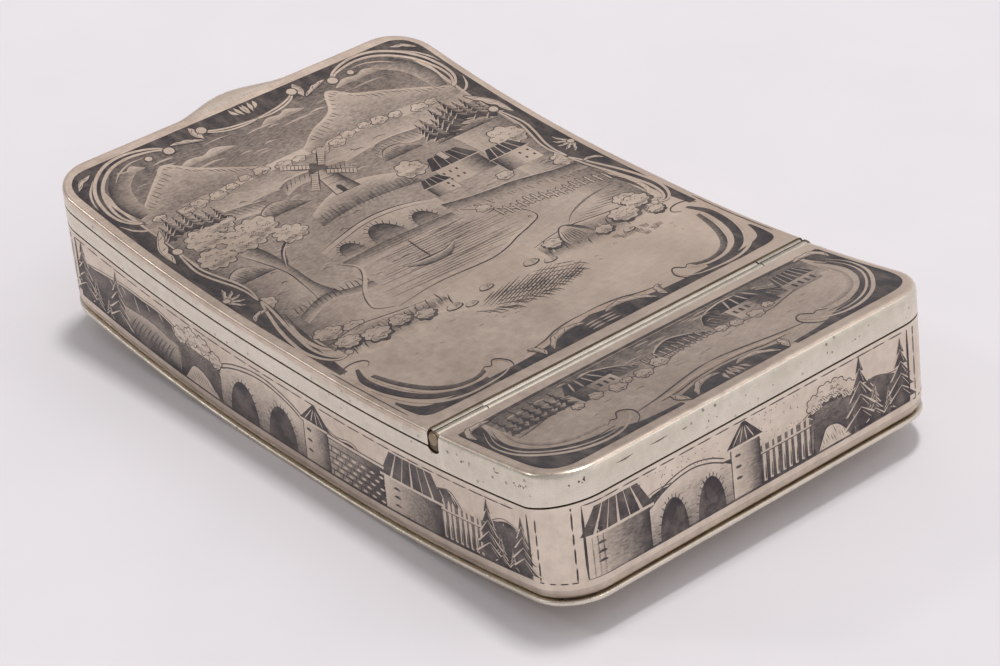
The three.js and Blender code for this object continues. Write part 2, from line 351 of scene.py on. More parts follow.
def plate_form(low, high, entries, step=1.0, flip_back=False, end_finish=None):
    """A closed plate whose edge follows the entries from its lower face to its upper one."""
    form = Form()
    path = outline(low, high, step)
    if flip_back:
        half = len(path) // 2
        path = path[half:] + path[:half]
    section = [e[0] for e in entries]
    finish = [e[1] for e in entries]
    rows = rings(form, path, section)
    count = len(rows)
    for k in range(count):
        here, there = rows[k], rows[(k + 1) % count]
        on_end = k == count - 1 and end_finish is not None
        for n in range(len(section) - 1):
            corners = (here[n], there[n], there[n + 1], here[n + 1])
            form.add(corners, end_finish if on_end else finish[n + 1])
    for k in range(count // 2 - 1):
        opposite = count - 1 - k
        for n, order in ((0, -1), (len(section) - 1, 1)):
            corners = (rows[k][n], rows[k + 1][n], rows[opposite - 1][n], rows[opposite][n])
            form.add(corners[::order], finish[n])
    return form


def band_form(low, high, entries, step=1.0, changing=None):
    """A band with a closed section round the whole outline, or open with flat ends."""
    form = Form()
    finish = [e[1] for e in entries]
    rows = rings(form, outline(low, high, step), changing or [e[0] for e in entries])
    if low <= -HALF_LENGTH and high >= HALF_LENGTH:
        for k in range(len(rows)):
            form.join(rows[k], rows[(k + 1) % len(rows)], finish)
    else:
        form.tube(rows, finish)
    return form


def arc(centre_out, centre_h, radius, degrees):
    """Points of an arc in a section, as (out, height); angles from straight out, upwards."""
    angles = [math.radians(d) for d in degrees]
    return [(centre_out + radius * math.cos(a), centre_h + radius * math.sin(a)) for a in angles]


# Numbers of the finishes after the first one, in each piece's own list
INNER = 1
LEDGE = 2
RIM = 2
FOOT = 3
BACK_EDGE = 3

# Body: bottom, wall, collar and bezel
BOTTOM_EDGE = ((-0.16, 0.0), (-0.05, 0.02), (0.02, 0.08), (0.05, 0.18), (0.05, 0.34), (0.02, 0.44),
               (-0.05, 0.5), (-0.16, 0.53), (-0.5, 0.55), (-0.8, 0.62), (-1.0, 0.7), (-1.6, 0.7))
bottom = [entry(out, h) for out, h in BOTTOM_EDGE] + [entry(-2.4, 0.7, finish=INNER)]
bottom_pan = plate_form(-HALF_LENGTH, HALF_LENGTH, bottom)
bottom_pan = bottom_pan.piece("bottom_pan", [RIM_SILVER, GILT], "body", "silver")
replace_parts(bottom_pan, "bottom_plate")

FOOT_INSET = 0.5
FOOT_HEIGHT = 1.3
FOOT_BOTTOM = 0.72
foot = []
for k in range(9):
    angle = math.pi / 2 * k / 8
    foot.append((FOOT_INSET * (math.sin(angle) - 1), FOOT_BOTTOM + FOOT_HEIGHT * (1 - math.cos(angle))))
# The foot's faces take the darker foot silver, as painted shade
wall = [entry(out, h, finish=FOOT) for out, h in foot[:-1]] + [entry(0, foot[-1][1])]
wall += [entry(0, h) for h in (5.0, 7.6, 10.0)] + [entry(0, WALL_TOP - 0.05, True)]
# The wall's top bevel and upper face take the dark gilding: painted shade in the seam under the collar
wall += [entry(out, WALL_TOP, True, finish=LEDGE) for out in (-0.04, -SHEET)]
wall += [entry(-SHEET, 9.4, finish=INNER)]
wall += [entry(out - SHEET, h, finish=INNER) for out, h in reversed(foot)]
wall_skin = band_form(-HALF_LENGTH, HALF_LENGTH, wall)
wall_skin = wall_skin.piece("wall_skin", [WALL_SILVER, GILT, GAP_SHADE_GILT, FOOT_SHADED_SILVER], "body", "silver")
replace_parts(wall_skin, "wall_band")


def collar_section(s):
    """The collar's section, with a dip in its upper edge where the barrel's end sits in it."""
    top = COLLAR_TOP
    reach = DISC_RADIUS + 0.09
    if abs(s - DISC_S) < reach:
        top = min(top, DISC_H - math.sqrt(reach ** 2 - (s - DISC_S) ** 2))
    corners = ((-SHEET, COLLAR_BOTTOM), (-0.04, COLLAR_BOTTOM), (0, COLLAR_BOTTOM + 0.04), (0, 11.6),
               (0, top - 0.05), (-0.05, top), (-SHEET, top))
    return [(out, h, False, None) for out, h in corners]


# The collar's top bevel and upper face take the dark gilding: painted shade in the seam under the lid
collar_finish = [entry(0, 0, finish=f) for f in (0, 0, 0, 0, 0, LEDGE, LEDGE)]
collar = band_form(-HALF_LENGTH, COVER_FRONT - 0.012, collar_finish, 0.25, collar_section)
collar_skin = collar.piece("collar_skin", [RIM_SILVER, GILT, GAP_SHADE_GILT], "body", "worn_silver")
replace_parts(collar_skin, "collar_band")

BEZEL = ((-1.6, 8.95), (-1.55, 8.9), (-1.15, 8.9), (-1.1, 8.95), (-1.1, 13.5), (-1.2, 13.62), (-1.35, 13.65),
         (-1.5, 13.62), (-1.6, 13.5))
bezel = band_form(-HALF_LENGTH, LID_SEAT - 0.3, [entry(out, h) for out, h in BEZEL])
bezel_strip = bezel.piece("bezel_strip", [GILT], "body", "gilt_silver")
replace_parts(bezel_strip, "inner_bezel")

# End cover, with a soft rounded rim
SEAT_BACK = 26.92
COVER_RIM = ((-1.0, 0), (-0.76, -0.02), (-0.55, -0.07), (-0.37, -0.15), (-0.23, -0.27), (-0.13, -0.42),
             (-0.06, -0.62), (-0.02, -0.86), (0, -1.15))
COVER_INSIDE = ((-SHEET - 0.7, UNDERSIDE, False), (-SHEET - 0.3, 13.7, False), (-SHEET, 13.2, False),
                (-SHEET, COLLAR_BOTTOM, True))
cover = [entry(out, h, seam, SEAT_BACK, INNER) for out, h, seam in COVER_INSIDE]
for out, h in ((-0.04, COLLAR_BOTTOM), (0, COLLAR_BOTTOM + 0.04)):
    cover.append(entry(out, h, True, COVER_FRONT, RIM))
for out, fall in reversed(COVER_RIM[1:]):
    cover.append(entry(out, TOP + fall, back=COVER_FRONT, finish=RIM if fall < -0.2 else 0))
cover += [entry(-0.9, TOP - 0.01, back=COVER_FRONT + 0.01), entry(-1.0, TOP, back=COVER_FRONT + 0.08)]
cover_skin = plate_form(COVER_FRONT, HALF_LENGTH, cover, 0.5, flip_back=True)
cover_skin = cover_skin.piece("cover_skin", [SILVER, GILT, RIM_SILVER], "body", "silver")
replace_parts(cover_skin, "end_cover")

# Lid
LID_EDGE = 0.42
LID_FACE = LID_BACK + 0.05
lid_side = [entry(out, h, back=LID_SEAT, finish=INNER)
            for out, h in ((-0.86, UNDERSIDE), (-SHEET, 13.88), (-SHEET, LID_BOTTOM))]
lid_side += [entry(-0.05, LID_BOTTOM, back=LID_BACK, finish=RIM)]
lid_side += [entry(0, h, back=LID_FACE, finish=RIM) for h in (LID_BOTTOM + 0.05, 13.5, 14.0)]
lid_side += [entry(0, 14.2, back=LID_FACE)]
for out, h in arc(-LID_EDGE, TOP - LID_EDGE, LID_EDGE, (15, 30, 45, 60, 75, 90)):
    lid_side.append(entry(out, h, back=LID_FACE - max(0, (h - TOP + 0.12)) * 0.6))
lid_side.append(entry(-0.6, TOP, back=LID_BACK - 0.12))
# The lid's back end, facing the hinge, takes the dark gilding: painted shade in the gap
lid_skin = plate_form(-HALF_LENGTH, LID_BACK, lid_side, end_finish=BACK_EDGE)
lid_skin = lid_skin.piece("lid_skin", [SILVER, GILT, RIM_SILVER, GAP_SHADE_GILT], "lid", "silver")
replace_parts(lid_skin, "lid_plate", "lid_rim", "lid_hinge_seat")

THUMB_HALF = 8.6
EDGE_PROFILE = ((-0.62, 14.62), (-0.4, 14.62), (-0.2, 14.55), (-0.1, 14.42), (-0.05, 14.25), (-0.03, 14.0),
                (-0.03, 13.7), (-0.03, 13.4), (-0.3, 13.3), (-0.62, 13.8))
LIP_PROFILE = ((-0.62, 14.655), (0.1, 14.66), (0.9, 14.61), (1.4, 14.47), (1.66, 14.25), (1.7, 14.05),
               (1.45, 13.8), (0.6, 13.45), (-0.1, 13.2), (-0.62, 13.6))
thumb = Form()
lip_rows = []
for y in spaced(-THUMB_HALF, THUMB_HALF, 0.4):
    swell = (1 + math.cos(math.pi * y / THUMB_HALF)) / 2
    row = []
    for (out, h), (lip_out, lip_h) in zip(EDGE_PROFILE, LIP_PROFILE):
        reach = -HALF_LENGTH - out - (lip_out - out) * swell
        row.append(thumb.place(reach, y, h + (lip_h - h) * min(1, 3 * swell)))
    lip_rows.append(row)
thumb.tube(lip_rows)
thumb_lip = thumb.piece("thumb_lip", [SILVER], "lid", "worn_silver", sharp=60)
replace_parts(thumb_lip, "thumb_piece")

# Hinge: tubes with the small web that joins each one to its sheet, and the plugs at both ends
TUBE = 0.695
TUBE_SEAT = 0.765
HINGE_END = 25.17
TUBE_JOINT = 18.82
TUBE_GAP = 0.12
END_RING = 0.04
SEAT_END = 25.1
SEAT_GAP = 0.1
LID_WEB = ((23.28, 13.3), (23.8, 13.3), (23.86, 14.33), (23.7, 14.4), (23.5, 14.47), (23.28, 14.5))
COVER_WEB = ((25.06, 13.3), (24.8, 13.3), (24.74, 14.14), (24.84, 14.1), (24.95, 14.12), (25.06, 14.16))


def hinge_bar(form, section, places):
    """A closed bar along the hinge from a section of (place along the box, height)."""
    form.tube([[form.place(s, y, h) for s, h in section] for y in places])


def knuckle(name, node, start, stop, side, body):
    """A hinge tube and its web; side is -1 where the web goes to the lid and 1 where it goes to the cover."""
    form = Form()
    section = arc(HINGE_S, HINGE_H, TUBE, [7.5 * k for k in range(48)])
    hinge_bar(form, section, [start, start + END_RING, stop - END_RING, stop])
    if side < 0:
        hollow = arc(HINGE_S, HINGE_H, TUBE_SEAT, range(183, 127, -11))
        hollow = [(23.3, 13.4)] + hollow + [(23.62, 14.52), (23.3, 14.52)]
        hinge_bar(form, hollow, [-SEAT_END, start - SEAT_GAP])
        hinge_bar(form, hollow, [stop + SEAT_GAP, SEAT_END])
    hinge_bar(form, LID_WEB if side < 0 else COVER_WEB, [start, stop])
    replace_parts(form.piece(name, [KNUCKLE_SILVER], body, "worn_silver"), node)


knuckle("knuckle_left", "body_knuckle_left", -HINGE_END, -TUBE_JOINT, 1, "body")
knuckle("knuckle_right", "body_knuckle_right", TUBE_JOINT, HINGE_END, 1, "body")
knuckle("knuckle_middle", "lid_knuckle", TUBE_GAP - TUBE_JOINT, TUBE_JOINT - TUBE_GAP, -1, "lid")

DISC = ((25.12, 1.0), (25.16, DISC_RADIUS), (25.42, DISC_RADIUS), (25.46, DISC_RADIUS - 0.06))
BARREL_END = ((25.46, DISC_RADIUS - 0.38), (25.57, DISC_RADIUS - 0.42), (25.61, DISC_RADIUS - 0.55),
              (25.61, 0.15))
BARREL_RISE = 0.3


def plug(name, node, side):
    """The plug's head: a disc in painted shade, cut straight beside the lid, and the barrel's round end on
    it.
    """
    form = Form()
    rows = []
    for y, radius in DISC + BARREL_END:
        rise = BARREL_RISE if (y, radius) in BARREL_END else 0
        circle = arc(DISC_S, DISC_H + rise, radius, [9 * k for k in range(40)])
        rows.append([form.place(max(LID_BACK + 0.1, s), side * y, h) for s, h in circle])
    form.tube(rows)
    # The disc's faces and the inner end take the dark gilding: painted shade round the barrel's end
    dark = len(rows[0]) * len(DISC)
    form.finish = [1] * dark + [0] * (len(form.finish) - dark)
    inner_end = -2
    form.finish[inner_end] = 1
    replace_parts(form.piece(name, [BRASS, GAP_SHADE_GILT], "body", "brass"), node)


plug("plug_left", "hinge_plug_left", -1)
plug("plug_right", "hinge_plug_right", 1)

# Two pieces keep the imported shape and get a finish
# The hinge seat, under the barrel, takes the dark gilding as painted shade; the pin is brass
for node, material in (("body_hinge_seat", GAP_SHADE_GILT), ("hinge_pin", BRASS)):
    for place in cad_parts[node].material_slots:
        place.material = material

# Engraving and niello, drawn flat in millimetres and laid on the silver as thin inlays

def at(*numbers):
    """Pairs of numbers as points."""
    return list(zip(numbers[::2], numbers[1::2]))


def across(left, right, v):
    """A level line."""
    return at(left, v, right, v)


def from_here(u, v, *steps):
    """A place and the points that lie the given steps away from it."""
    return [(u, v)] + [(u + a, v + b) for a, b in at(*steps)]


def moved(points, step_u, step_v):
    """The same points, all moved by one step."""
    return [(u + step_u, v + step_v) for u, v in points]


def brought_to(points, v):
    """The same points, all brought to one height of the picture."""
    return [(u, v) for u, _ in points]


def grown(points, centre, share):
    """The same points, further from the centre."""
    return [(centre[0] + (u - centre[0]) * share, centre[1] + (v - centre[1]) * share) for u, v in points]


def round_of(u, v, radius, count):
    """Points round a circle."""
    angles = [math.tau * k / count for k in range(count)]
    return [(u + radius * math.cos(a), v + radius * math.sin(a)) for a in angles]


def arch_of(u, v, half, high, parts):
    """Points of half an ellipse that stands on the height v."""
    angles = [math.pi * k / parts for k in range(parts + 1)]
    return [(u + half * math.cos(a), v - high * math.sin(a)) for a in angles]


def smooth(points, step=0.35):
    """A smooth curve through the points."""
    if len(points) < 3:
        return list(points)
    ends = [tuple(2 * a - b for a, b in zip(points[0], points[1]))] + list(points)
    ends.append(tuple(2 * a - b for a, b in zip(points[-1], points[-2])))
    out = []
    for k in range(1, len(ends) - 2):
        p0, p1, p2, p3 = ends[k - 1:k + 3]
        count = max(2, min(14, math.ceil(math.dist(p1, p2) / step)))
        for n in range(count):
            t = n / count
            out.append(tuple(0.5 * (2 * b + (c - a) * t + (2 * a - 5 * b + 4 * c - d) * t * t
                                    + (3 * b - a - 3 * c + d) * t ** 3)
                             for a, b, c, d in zip(p0, p1, p2, p3)))
    out.append(tuple(points[-1]))
    return out


def moved_aside(points, offset):
    """A curve beside another one; the offset is one number for each point."""
    out = []
    for k, ((u, v), reach) in enumerate(zip(points, offset)):
        a = points[max(0, k - 1)]
        b = points[min(len(points) - 1, k + 1)]
        du, dv = b[0] - a[0], b[1] - a[1]
        size = math.hypot(du, dv) or 1
        out.append((u - dv / size * reach, v + du / size * reach))
    return out


def in_steps(points, count):
    """A curve cut anew into a number of points an equal way apart."""
    runs = [0.0]
    for a, b in zip(points, points[1:]):
        runs.append(runs[-1] + math.dist(a, b))
    out, k = [], 0
    for n in range(count):
        far = runs[-1] * n / (count - 1)
        while k < len(points) - 2 and runs[k + 1] < far:
            k += 1
        t = (far - runs[k]) / ((runs[k + 1] - runs[k]) or 1)
        out.append(tuple(a + (b - a) * min(t, 1) for a, b in zip(points[k], points[k + 1])))
    return out


INLAY_THICKNESS = 0.1

# How far the patches lie over the silver: the first one, each level, and the small steps within a level
FIRST_LIFT = 0.006
LEVEL_LIFT = 0.002
TURN_LIFT = 0.0017
GOLDEN_SHARE = 0.618034


class Drawing:
    """Flat patches with tones from 0, bare silver, to 1, full niello. Higher levels lie on lower ones."""

    def __init__(self, seed):
        self.points = []
        self.tones = []
        self.faces = []
        self.turn = 0
        self.rng = random.Random(seed)
        self.mirror = False

    def patch(self, points, tones, faces, level):
        """One patch, lifted a little by its level and a hair by its turn, so that no two lie in one plane."""
        self.turn += 1
        lift = FIRST_LIFT + LEVEL_LIFT * level + TURN_LIFT * (self.turn * GOLDEN_SHARE % 1)
        for side in (1, -1) if self.mirror else (1,):
            first = len(self.points)
            self.points += [(side * u, v, lift) for u, v in points]
            self.tones += tones
            self.faces += [tuple(first + k for k in face) for face in faces]

    def fill(self, points, tone, level=1):
        """A polygon of one tone."""
        self.patch(points, [tone] * len(points), [tuple(range(len(points)))], level)

    def box(self, left, right, low, high, tone, level):
        """A rectangle of one tone."""
        self.fill(at(left, low, right, low, right, high, left, high), tone, level)

    def board(self, left, right, middle, foot, shoulder, tip, tone, level):
        """A pointed board."""
        self.fill(at(left, foot, right, foot, right, shoulder, middle, tip, left, shoulder), tone, level)

    def strip(self, one, other, tone_one, tone_other, level=1):
        """A band between two curves, with a tone along each of them."""
        if len(one) != len(other):
            count = max(len(one), len(other))
            one, other = in_steps(one, count), in_steps(other, count)
        count = len(one)
        faces = [(k, k + 1, count + k + 1, count + k) for k in range(count - 1)]
        self.patch(list(one) + list(other), [tone_one] * count + [tone_other] * count, faces, level)

    def field(self, one, other, tone_one, tone_other, level, step=0.8):
        """A band between the smooth curves through two rows of points."""
        self.strip(smooth(one, step), smooth(other, step), tone_one, tone_other, level)

    def upright(self, near, far, low, high, tone_near, tone_far, level):
        """A wall whose tone changes from its near side to its far side."""
        self.strip(at(near, low, near, high), at(far, low, far, high), tone_near, tone_far, level)

    def ribbon(self, path, halves, tone_one, tone_other, level):
        """A band on both sides of a path; halves gives half its width at each point."""
        other = moved_aside(path, [-v for v in halves])
        self.strip(moved_aside(path, halves), other, tone_one, tone_other, level)

    def stroke(self, points, width, tone=1.0, level=3, taper=0.35, curved=True):
        """A line that runs out to a point over a share of its length; width is one number or several."""
        path = smooth(points) if curved else list(points)
        if len(path) == 2 and taper:
            path = in_steps(path, 6)
        marks = width if isinstance(width, tuple) else (width, width)
        halves = []
        for k in range(len(path)):
            t = k / (len(path) - 1)
            place = t * (len(marks) - 1)
            low = min(int(place), len(marks) - 2)
            size = marks[low] + (marks[low + 1] - marks[low]) * (place - low)
            if taper:
                size *= min(1, 0.12 + 0.88 * min(t, 1 - t) / taper)
            halves.append(size / 2)
        self.ribbon(path, halves, tone, tone, level)

    def line(self, points, width, tone, level):
        """A straight line with square ends."""
        self.stroke(points, width, tone, level, 0, curved=False)

    def hatch(self, shape, angle, gap, width, tone=1.0, level=3, wander=0.1, keep=1.0):
        """Straight tapered lines across a polygon."""
        c, s = math.cos(math.radians(angle)), math.sin(math.radians(angle))
        turned = [(u * c + v * s, v * c - u * s) for u, v in shape]
        row = min(p[1] for p in turned) + gap * 0.6
        high = max(p[1] for p in turned)
        while row < high:
            cuts = []
            for (a, b), (e, f) in zip(turned, turned[1:] + turned[:1]):
                if (b > row) != (f > row):
                    cuts.append(a + (e - a) * (row - b) / (f - b))
            cuts.sort()
            for a, b in zip(cuts[::2], cuts[1::2]):
                if b - a > 0.15 and self.rng.random() < keep:
                    a += self.rng.uniform(0, wander) * (b - a)
                    b -= self.rng.uniform(0, wander) * (b - a)
                    path = [(m * c - row * s, row * c + m * s) for m in (a, (a + b) / 2, b)]
                    self.stroke(path, width * self.rng.uniform(0.75, 1.2), tone, level, 0.3, curved=False)
            row += gap * self.rng.uniform(0.85, 1.15)

    def scroll(self, points, width, strands, thick, shade, level, ends):
        """A rococo scroll: light strands that part and meet again over a dark bed, with a bud at its ends."""
        path = smooth(points)
        count = len(path)
        belly = [max(0.0, math.sin(math.pi * k / (count - 1))) ** 0.6 for k in range(count)]
        self.ribbon(path, [0.5 * width * (0.3 + 0.7 * b) for b in belly], shade, shade, level)
        for strand in strands:
            beside = moved_aside(path, [strand * width * b for b in belly])
            halves = [0.5 * thick * width * (0.55 + 0.45 * b) for b in belly]
            self.ribbon(beside, halves, 0.0, 0.05, level + 1)
        for bud, tip in zip(ends, (path[0], path[-1])):
            if bud:
                self.bud(tip, bud, level + 2)

    def bud(self, centre, radius, level):
        """A small round bud with a dark rim."""
        ring = round_of(*centre, radius, 14)
        self.fill(grown(ring, centre, 1.3), 0.9, level)
        self.fill(ring, 0.0, level + 1)

    def leaf(self, points, width, lobes, level, side=1):
        """A curling leaf along a spine, lobed on one side, with a dark edge and veins."""
        spine = smooth(points)
        count = len(spine)
        inner, outer = [], []
        for k in range(count):
            t = k / (count - 1)
            body = max(0.0, math.sin(math.pi * t)) ** 0.7
            inner.append(-side * width * 0.16 * body)
            outer.append(side * width * body * (0.62 + 0.38 * abs(math.sin(math.pi * lobes * t))))
        rim = 0.11 * side
        edge = moved_aside(spine, outer)
        dark_edge = moved_aside(spine, [v + rim for v in outer])
        self.strip(dark_edge, moved_aside(spine, [v - rim for v in inner]), 0.95, 0.95, level)
        self.strip(edge, moved_aside(spine, inner), 0.0, 0.0, level + 1)
        for n in range(1, lobes + 1):
            k = round((n - 0.35) / lobes * (count - 1))
            root = spine[max(0, k - max(2, count // (lobes * 2)))]
            tip = edge[min(k, count - 1)]
            middle = tuple((a + b) / 2 for a, b in zip(root, tip))
            end = tuple(a * 0.86 + b * 0.14 for a, b in zip(tip, spine[k]))
            self.stroke([root, middle, end], 0.1, 0.9, level + 2, 0.4)
        self.stroke(spine[1:-1:3] + [spine[-1]], 0.08, 0.85, level + 2)

    def blob(self, centre, size, flat, lobes, tone, level, shade=True):
        """A clump of leaves: a lobed outline with curls inside and hatching below."""
        cu, cv = centre
        phase = self.rng.uniform(0, 3)
        ring = []
        for k in range(lobes * 6):
            a = math.tau * k / (lobes * 6)
            r = size * (0.78 + 0.22 * abs(math.sin(lobes * a / 2 + phase)) + 0.05 * math.sin(3 * a + phase))
            ring.append((cu + r * math.cos(a), cv + flat * r * math.sin(a)))
        self.fill(grown(ring, centre, (1 + 0.09 / size) * 1.03), 0.95, level)
        self.fill(ring, tone, level + 1)
        for _ in range(round(size * size * 4)):
            a, r = self.rng.uniform(0, math.tau), size * math.sqrt(self.rng.uniform(0.02, 0.6))
            u, v = cu + r * math.cos(a), cv + flat * r * math.sin(a)
            w = self.rng.uniform(0.16, 0.3)
            curl = at(u - w, v + w * 0.5, u, v - w * 0.45, u + w, v + w * 0.5)
            self.stroke(curl, 0.09, 0.9, level + 2, 0.4)
        low = [(u, v) for u, v in ring if v > cv + 0.12 * size]
        if shade and len(low) > 3:
            self.hatch(low, self.rng.uniform(20, 60), 0.22, 0.1, 0.95, level + 2, 0.25)

    def house(self, left, right, base, height, roof, level, dark_side, windows, slats=False):
        """A plain cottage: a shaded wall, windows and a pitched dark roof. Up is towards smaller v."""
        top = base - height
        wide = right - left
        self.box(left - 0.07, right + 0.07, base, top, 0.95, level)
        near, far = (left, right) if dark_side < 0 else (right, left)
        middle = near + (far - near) * 0.55
        self.upright(near, middle, base, top, 0.98, 0.1, level + 1)
        self.upright(middle, far, base, top, 0.1, 0.0, level + 1)
        slope = roof * 0.5
        eaves, ridge = left - 0.3, left - 0.3 + slope
        cap = at(eaves, top, right + 0.3, top, right + 0.3 - slope, top - roof, ridge, top - roof)
        self.fill(cap, 0.97, level + 1)
        boards = 3 + int(wide / 2.2)
        for n in range(1, boards):
            foot_u = eaves + (wide + 0.6) * n / boards
            ridge_u = ridge + (wide + 0.6 - 2 * slope) * n / boards
            self.line(at(foot_u, top, ridge_u, top - roof), 0.13 if slats else 0.08, 0.05, level + 2)
        self.line(at(left - 0.4, top + 0.05, right + 0.4, top + 0.05), 0.16, 0.0, level + 3)
        for row in range(1 if height < 2.2 else 2):
            v = top + height * (0.3 + 0.38 * row)
            for n in range(windows):
                u = middle + (far - middle) * (n + 0.5) / windows
                self.box(u - 0.13, u + 0.13, v - 0.2, v + 0.2, 0.95, level + 3)

    def piece(self, name, place, body, slabs, way, finish, slot="niello"):
        """The drawing as a piece. place gives the layout of (u, v, lift), and slabs say where it bends."""
        mesh = bpy.data.meshes.new(name)
        mesh.from_pydata(self.points, [], self.faces)
        tone = mesh.attributes.new("tone", "FLOAT", "POINT")
        tone.data.foreach_set("value", self.tones)
        work = bmesh.new()
        work.from_mesh(mesh)
        for cut in slabs:
            everything = work.verts[:] + work.edges[:] + work.faces[:]
            bmesh.ops.bisect_plane(work, geom=everything, plane_co=times(way, cut), plane_no=way, dist=1e-5)

        # Every face looks away from the silver, also where the layout turns the drawing over
        work.normal_update()
        start = Vector(place(1, 1, 0))
        steps = [Vector(place(*spot)) - start for spot in ((2, 1, 0), (1, 2, 0), (1, 1, 1))]
        turned = steps[0].cross(steps[1]).dot(steps[2]) < 0
        for face in work.faces:
            if (face.normal.z < 0) != turned:
                face.normal_flip()
        for vertex in work.verts:
            vertex.co = Vector(bent(*place(*vertex.co))) * MM
        work.to_mesh(mesh)
        work.free()
        mesh.materials.append(finish)
        skin = put_in_scene(name, mesh, body).modifiers.new("inlay", "SOLIDIFY")
        skin.thickness = INLAY_THICKNESS * MM
        skin.offset = -1


# Lid: u runs across the box, v along it, and up in the picture is the lid's far end
UNDER, GROUND, BED, LEAF, LINE, BUD = range(10, 16)


def fir(art, u, base, tall, level):
    """A fir tree in dark tiers with light rims."""
    for k in range(5):
        wide = tall * (0.07 + 0.062 * k)
        low = -base - tall + tall * 0.94 * (k + 1) / 5
        tier = at(u, low - tall / 5 - 0.35, u + wide, low, u + wide * 0.45, low - 0.16, u, low + 0.1,
                  u - wide * 0.45, low - 0.16, u - wide, low)
        art.fill([(u + (a - u) * 1.16, b - 0.07) for a, b in tier], 0.0, level + 2 * k)
        art.fill(tier, 0.95, level + 1 + 2 * k)
        glint = at(u + 0.1, low - tall / 5, u + wide * 0.55, low - 0.25)
        art.stroke(glint, 0.06, 0.1, level + 2 + 2 * k, 0.2)
    art.line(at(u, -base - tall * 0.1, u, -base), 0.35, 0.95, level)


def lid_sky(art):
    """Clouds and streaks at the far end of the lid."""
    sky_top = at(-21.5, -39.6, -14, -40.6, -6, -39.6, 0, -39.2, 6, -39.6, 14, -40.6, 21.5, -39.6)
    sky_low = at(-22, -29.0, -14, -29.6, -6, -30.2, 0, -30.4, 6, -30.2, 14, -29.4, 22, -29.0)
    art.strip(sky_top, moved(sky_low, 0, -5), 0.8, 0.66, 0)
    art.strip(moved(sky_low, 0, -5), sky_low, 0.66, 0.5, 0)
    for u, v, wide in ((-9, -35.4, 8), (2.5, -36.6, 6), (14.5, -37.6, 7), (-17.6, -38.0, 4)):
        puff = smooth(at(u - wide / 2, v, u - wide / 4, v - 0.9, u, v - 0.6, u + wide / 5, v - 1.1,
                         u + wide / 2, v), 0.5)
        art.strip(puff, brought_to(puff, v + 0.15), 0.0, 0.45, 1)
    for _ in range(22):
        u, v = art.rng.uniform(-20, 17), art.rng.uniform(-38.6, -31)
        size = art.rng.uniform(1.5, 5.5)
        art.stroke(from_here(u, v, size / 2, -0.15, size, 0.05), art.rng.uniform(0.12, 0.32), 0.15, 1)


def lid_ridges(art):
    """Two snowy ridges."""
    left_ridge = at(-21.6, -30.5, -18.6, -33.2, -15.4, -35.8, -13.7, -36.9, -11.4, -34.6, -8.6, -32.6,
                    -5, -30.2)
    right_ridge = at(0.5, -30.2, 3.5, -32.4, 7.4, -34.2, 9.6, -37.4, 11.8, -35.4, 15.5, -33.6, 21.8, -30.0)
    for ridge in (left_ridge, right_ridge):
        crest = smooth(ridge, 0.8)
        art.strip(crest, [(u, max(v + 2.6, -29.8)) for u, v in crest], 0.12, 0.55, 2)
        art.stroke(ridge, (0.34, 0.5, 0.3), 0.0, 3)
        for u, v in crest[3:-2]:
            size = art.rng.uniform(0.5, 1.6)
            art.stroke(from_here(u, v + 0.2, 0.25, size / 2, 0.5, size), 0.12, 0.9, 3)


def lid_fields(art):
    """The far bank with its hedges, and ploughed fields."""
    bank = at(-22, -29.2, -15, -28.6, -8, -29.0, 0, -28.4, 8, -29.2, 15, -28.4, 22, -29.4)
    art.strip(smooth(bank, 1), moved(smooth(bank, 1), 0, 3.4), 0.45, 0.08, 2)
    for n in range(17):
        u = -19.6 + 2.35 * n + art.rng.uniform(-0.4, 0.4)
        v = -29.2 + 0.5 * math.sin(n * 0.9) + art.rng.uniform(-0.2, 0.2)
        art.blob((u, v), art.rng.uniform(0.75, 1.15), 0.75, 5, 0.05, 3)
    for u, v, wide, deep, angle in ((-13, -25.6, 8, 2.2, 62), (-2, -26.2, 9, 1.8, -58),
                                    (10.5, -25.8, 9, 2.4, 70)):
        top_edge = smooth(at(u - wide / 2, v + 0.5, u - wide / 4, v - 0.35, u + wide / 6, v,
                             u + wide / 2, v + 0.7), 0.8)
        art.strip(top_edge, moved(top_edge, 0, deep), 0.7, 0.02, 3)
        art.stroke(top_edge[::3], 0.22, 0.0, 4)
        field = top_edge + moved(top_edge[::-1], 0, deep * 0.8)
        art.hatch(field, angle, 0.55, 0.13, 0.85, 4)


def lid_shading(art):
    """Shading under the picture, darker towards its sides."""
    wash_far = at(-22, -29, -11, -29, 0, -29, 11, -29, 22, -29)
    wash_mid = at(-22, -16, -11, -16, 0, -16, 11, -16, 22, -16)
    wash_near = at(-22, 4, -11, 3, 0, 1.5, 11, 3, 22, 4)
    art.strip(wash_far, wash_mid, 0.55, 0.4, 1)
    art.strip(wash_mid, wash_near, 0.4, 0.06, 1)
    for side in (-1, 1):
        edge = at(22 * side, -30, 22 * side, -20, 22 * side, -8, 22 * side, 4)
        inside = at(13 * side, -30, 15 * side, -20, 16 * side, -8, 17.5 * side, 3)
        art.strip(edge, inside, 0.72, 0.1, 2)
    for _ in range(90):
        u, v = art.rng.uniform(-21, 19), art.rng.uniform(-27, -2)
        size = art.rng.uniform(0.5, 2.2)
        art.stroke(from_here(u, v, size / 2, -0.2, size, 0.1), art.rng.uniform(0.08, 0.2),
                   art.rng.choice((0.0, 0.85)), 3)


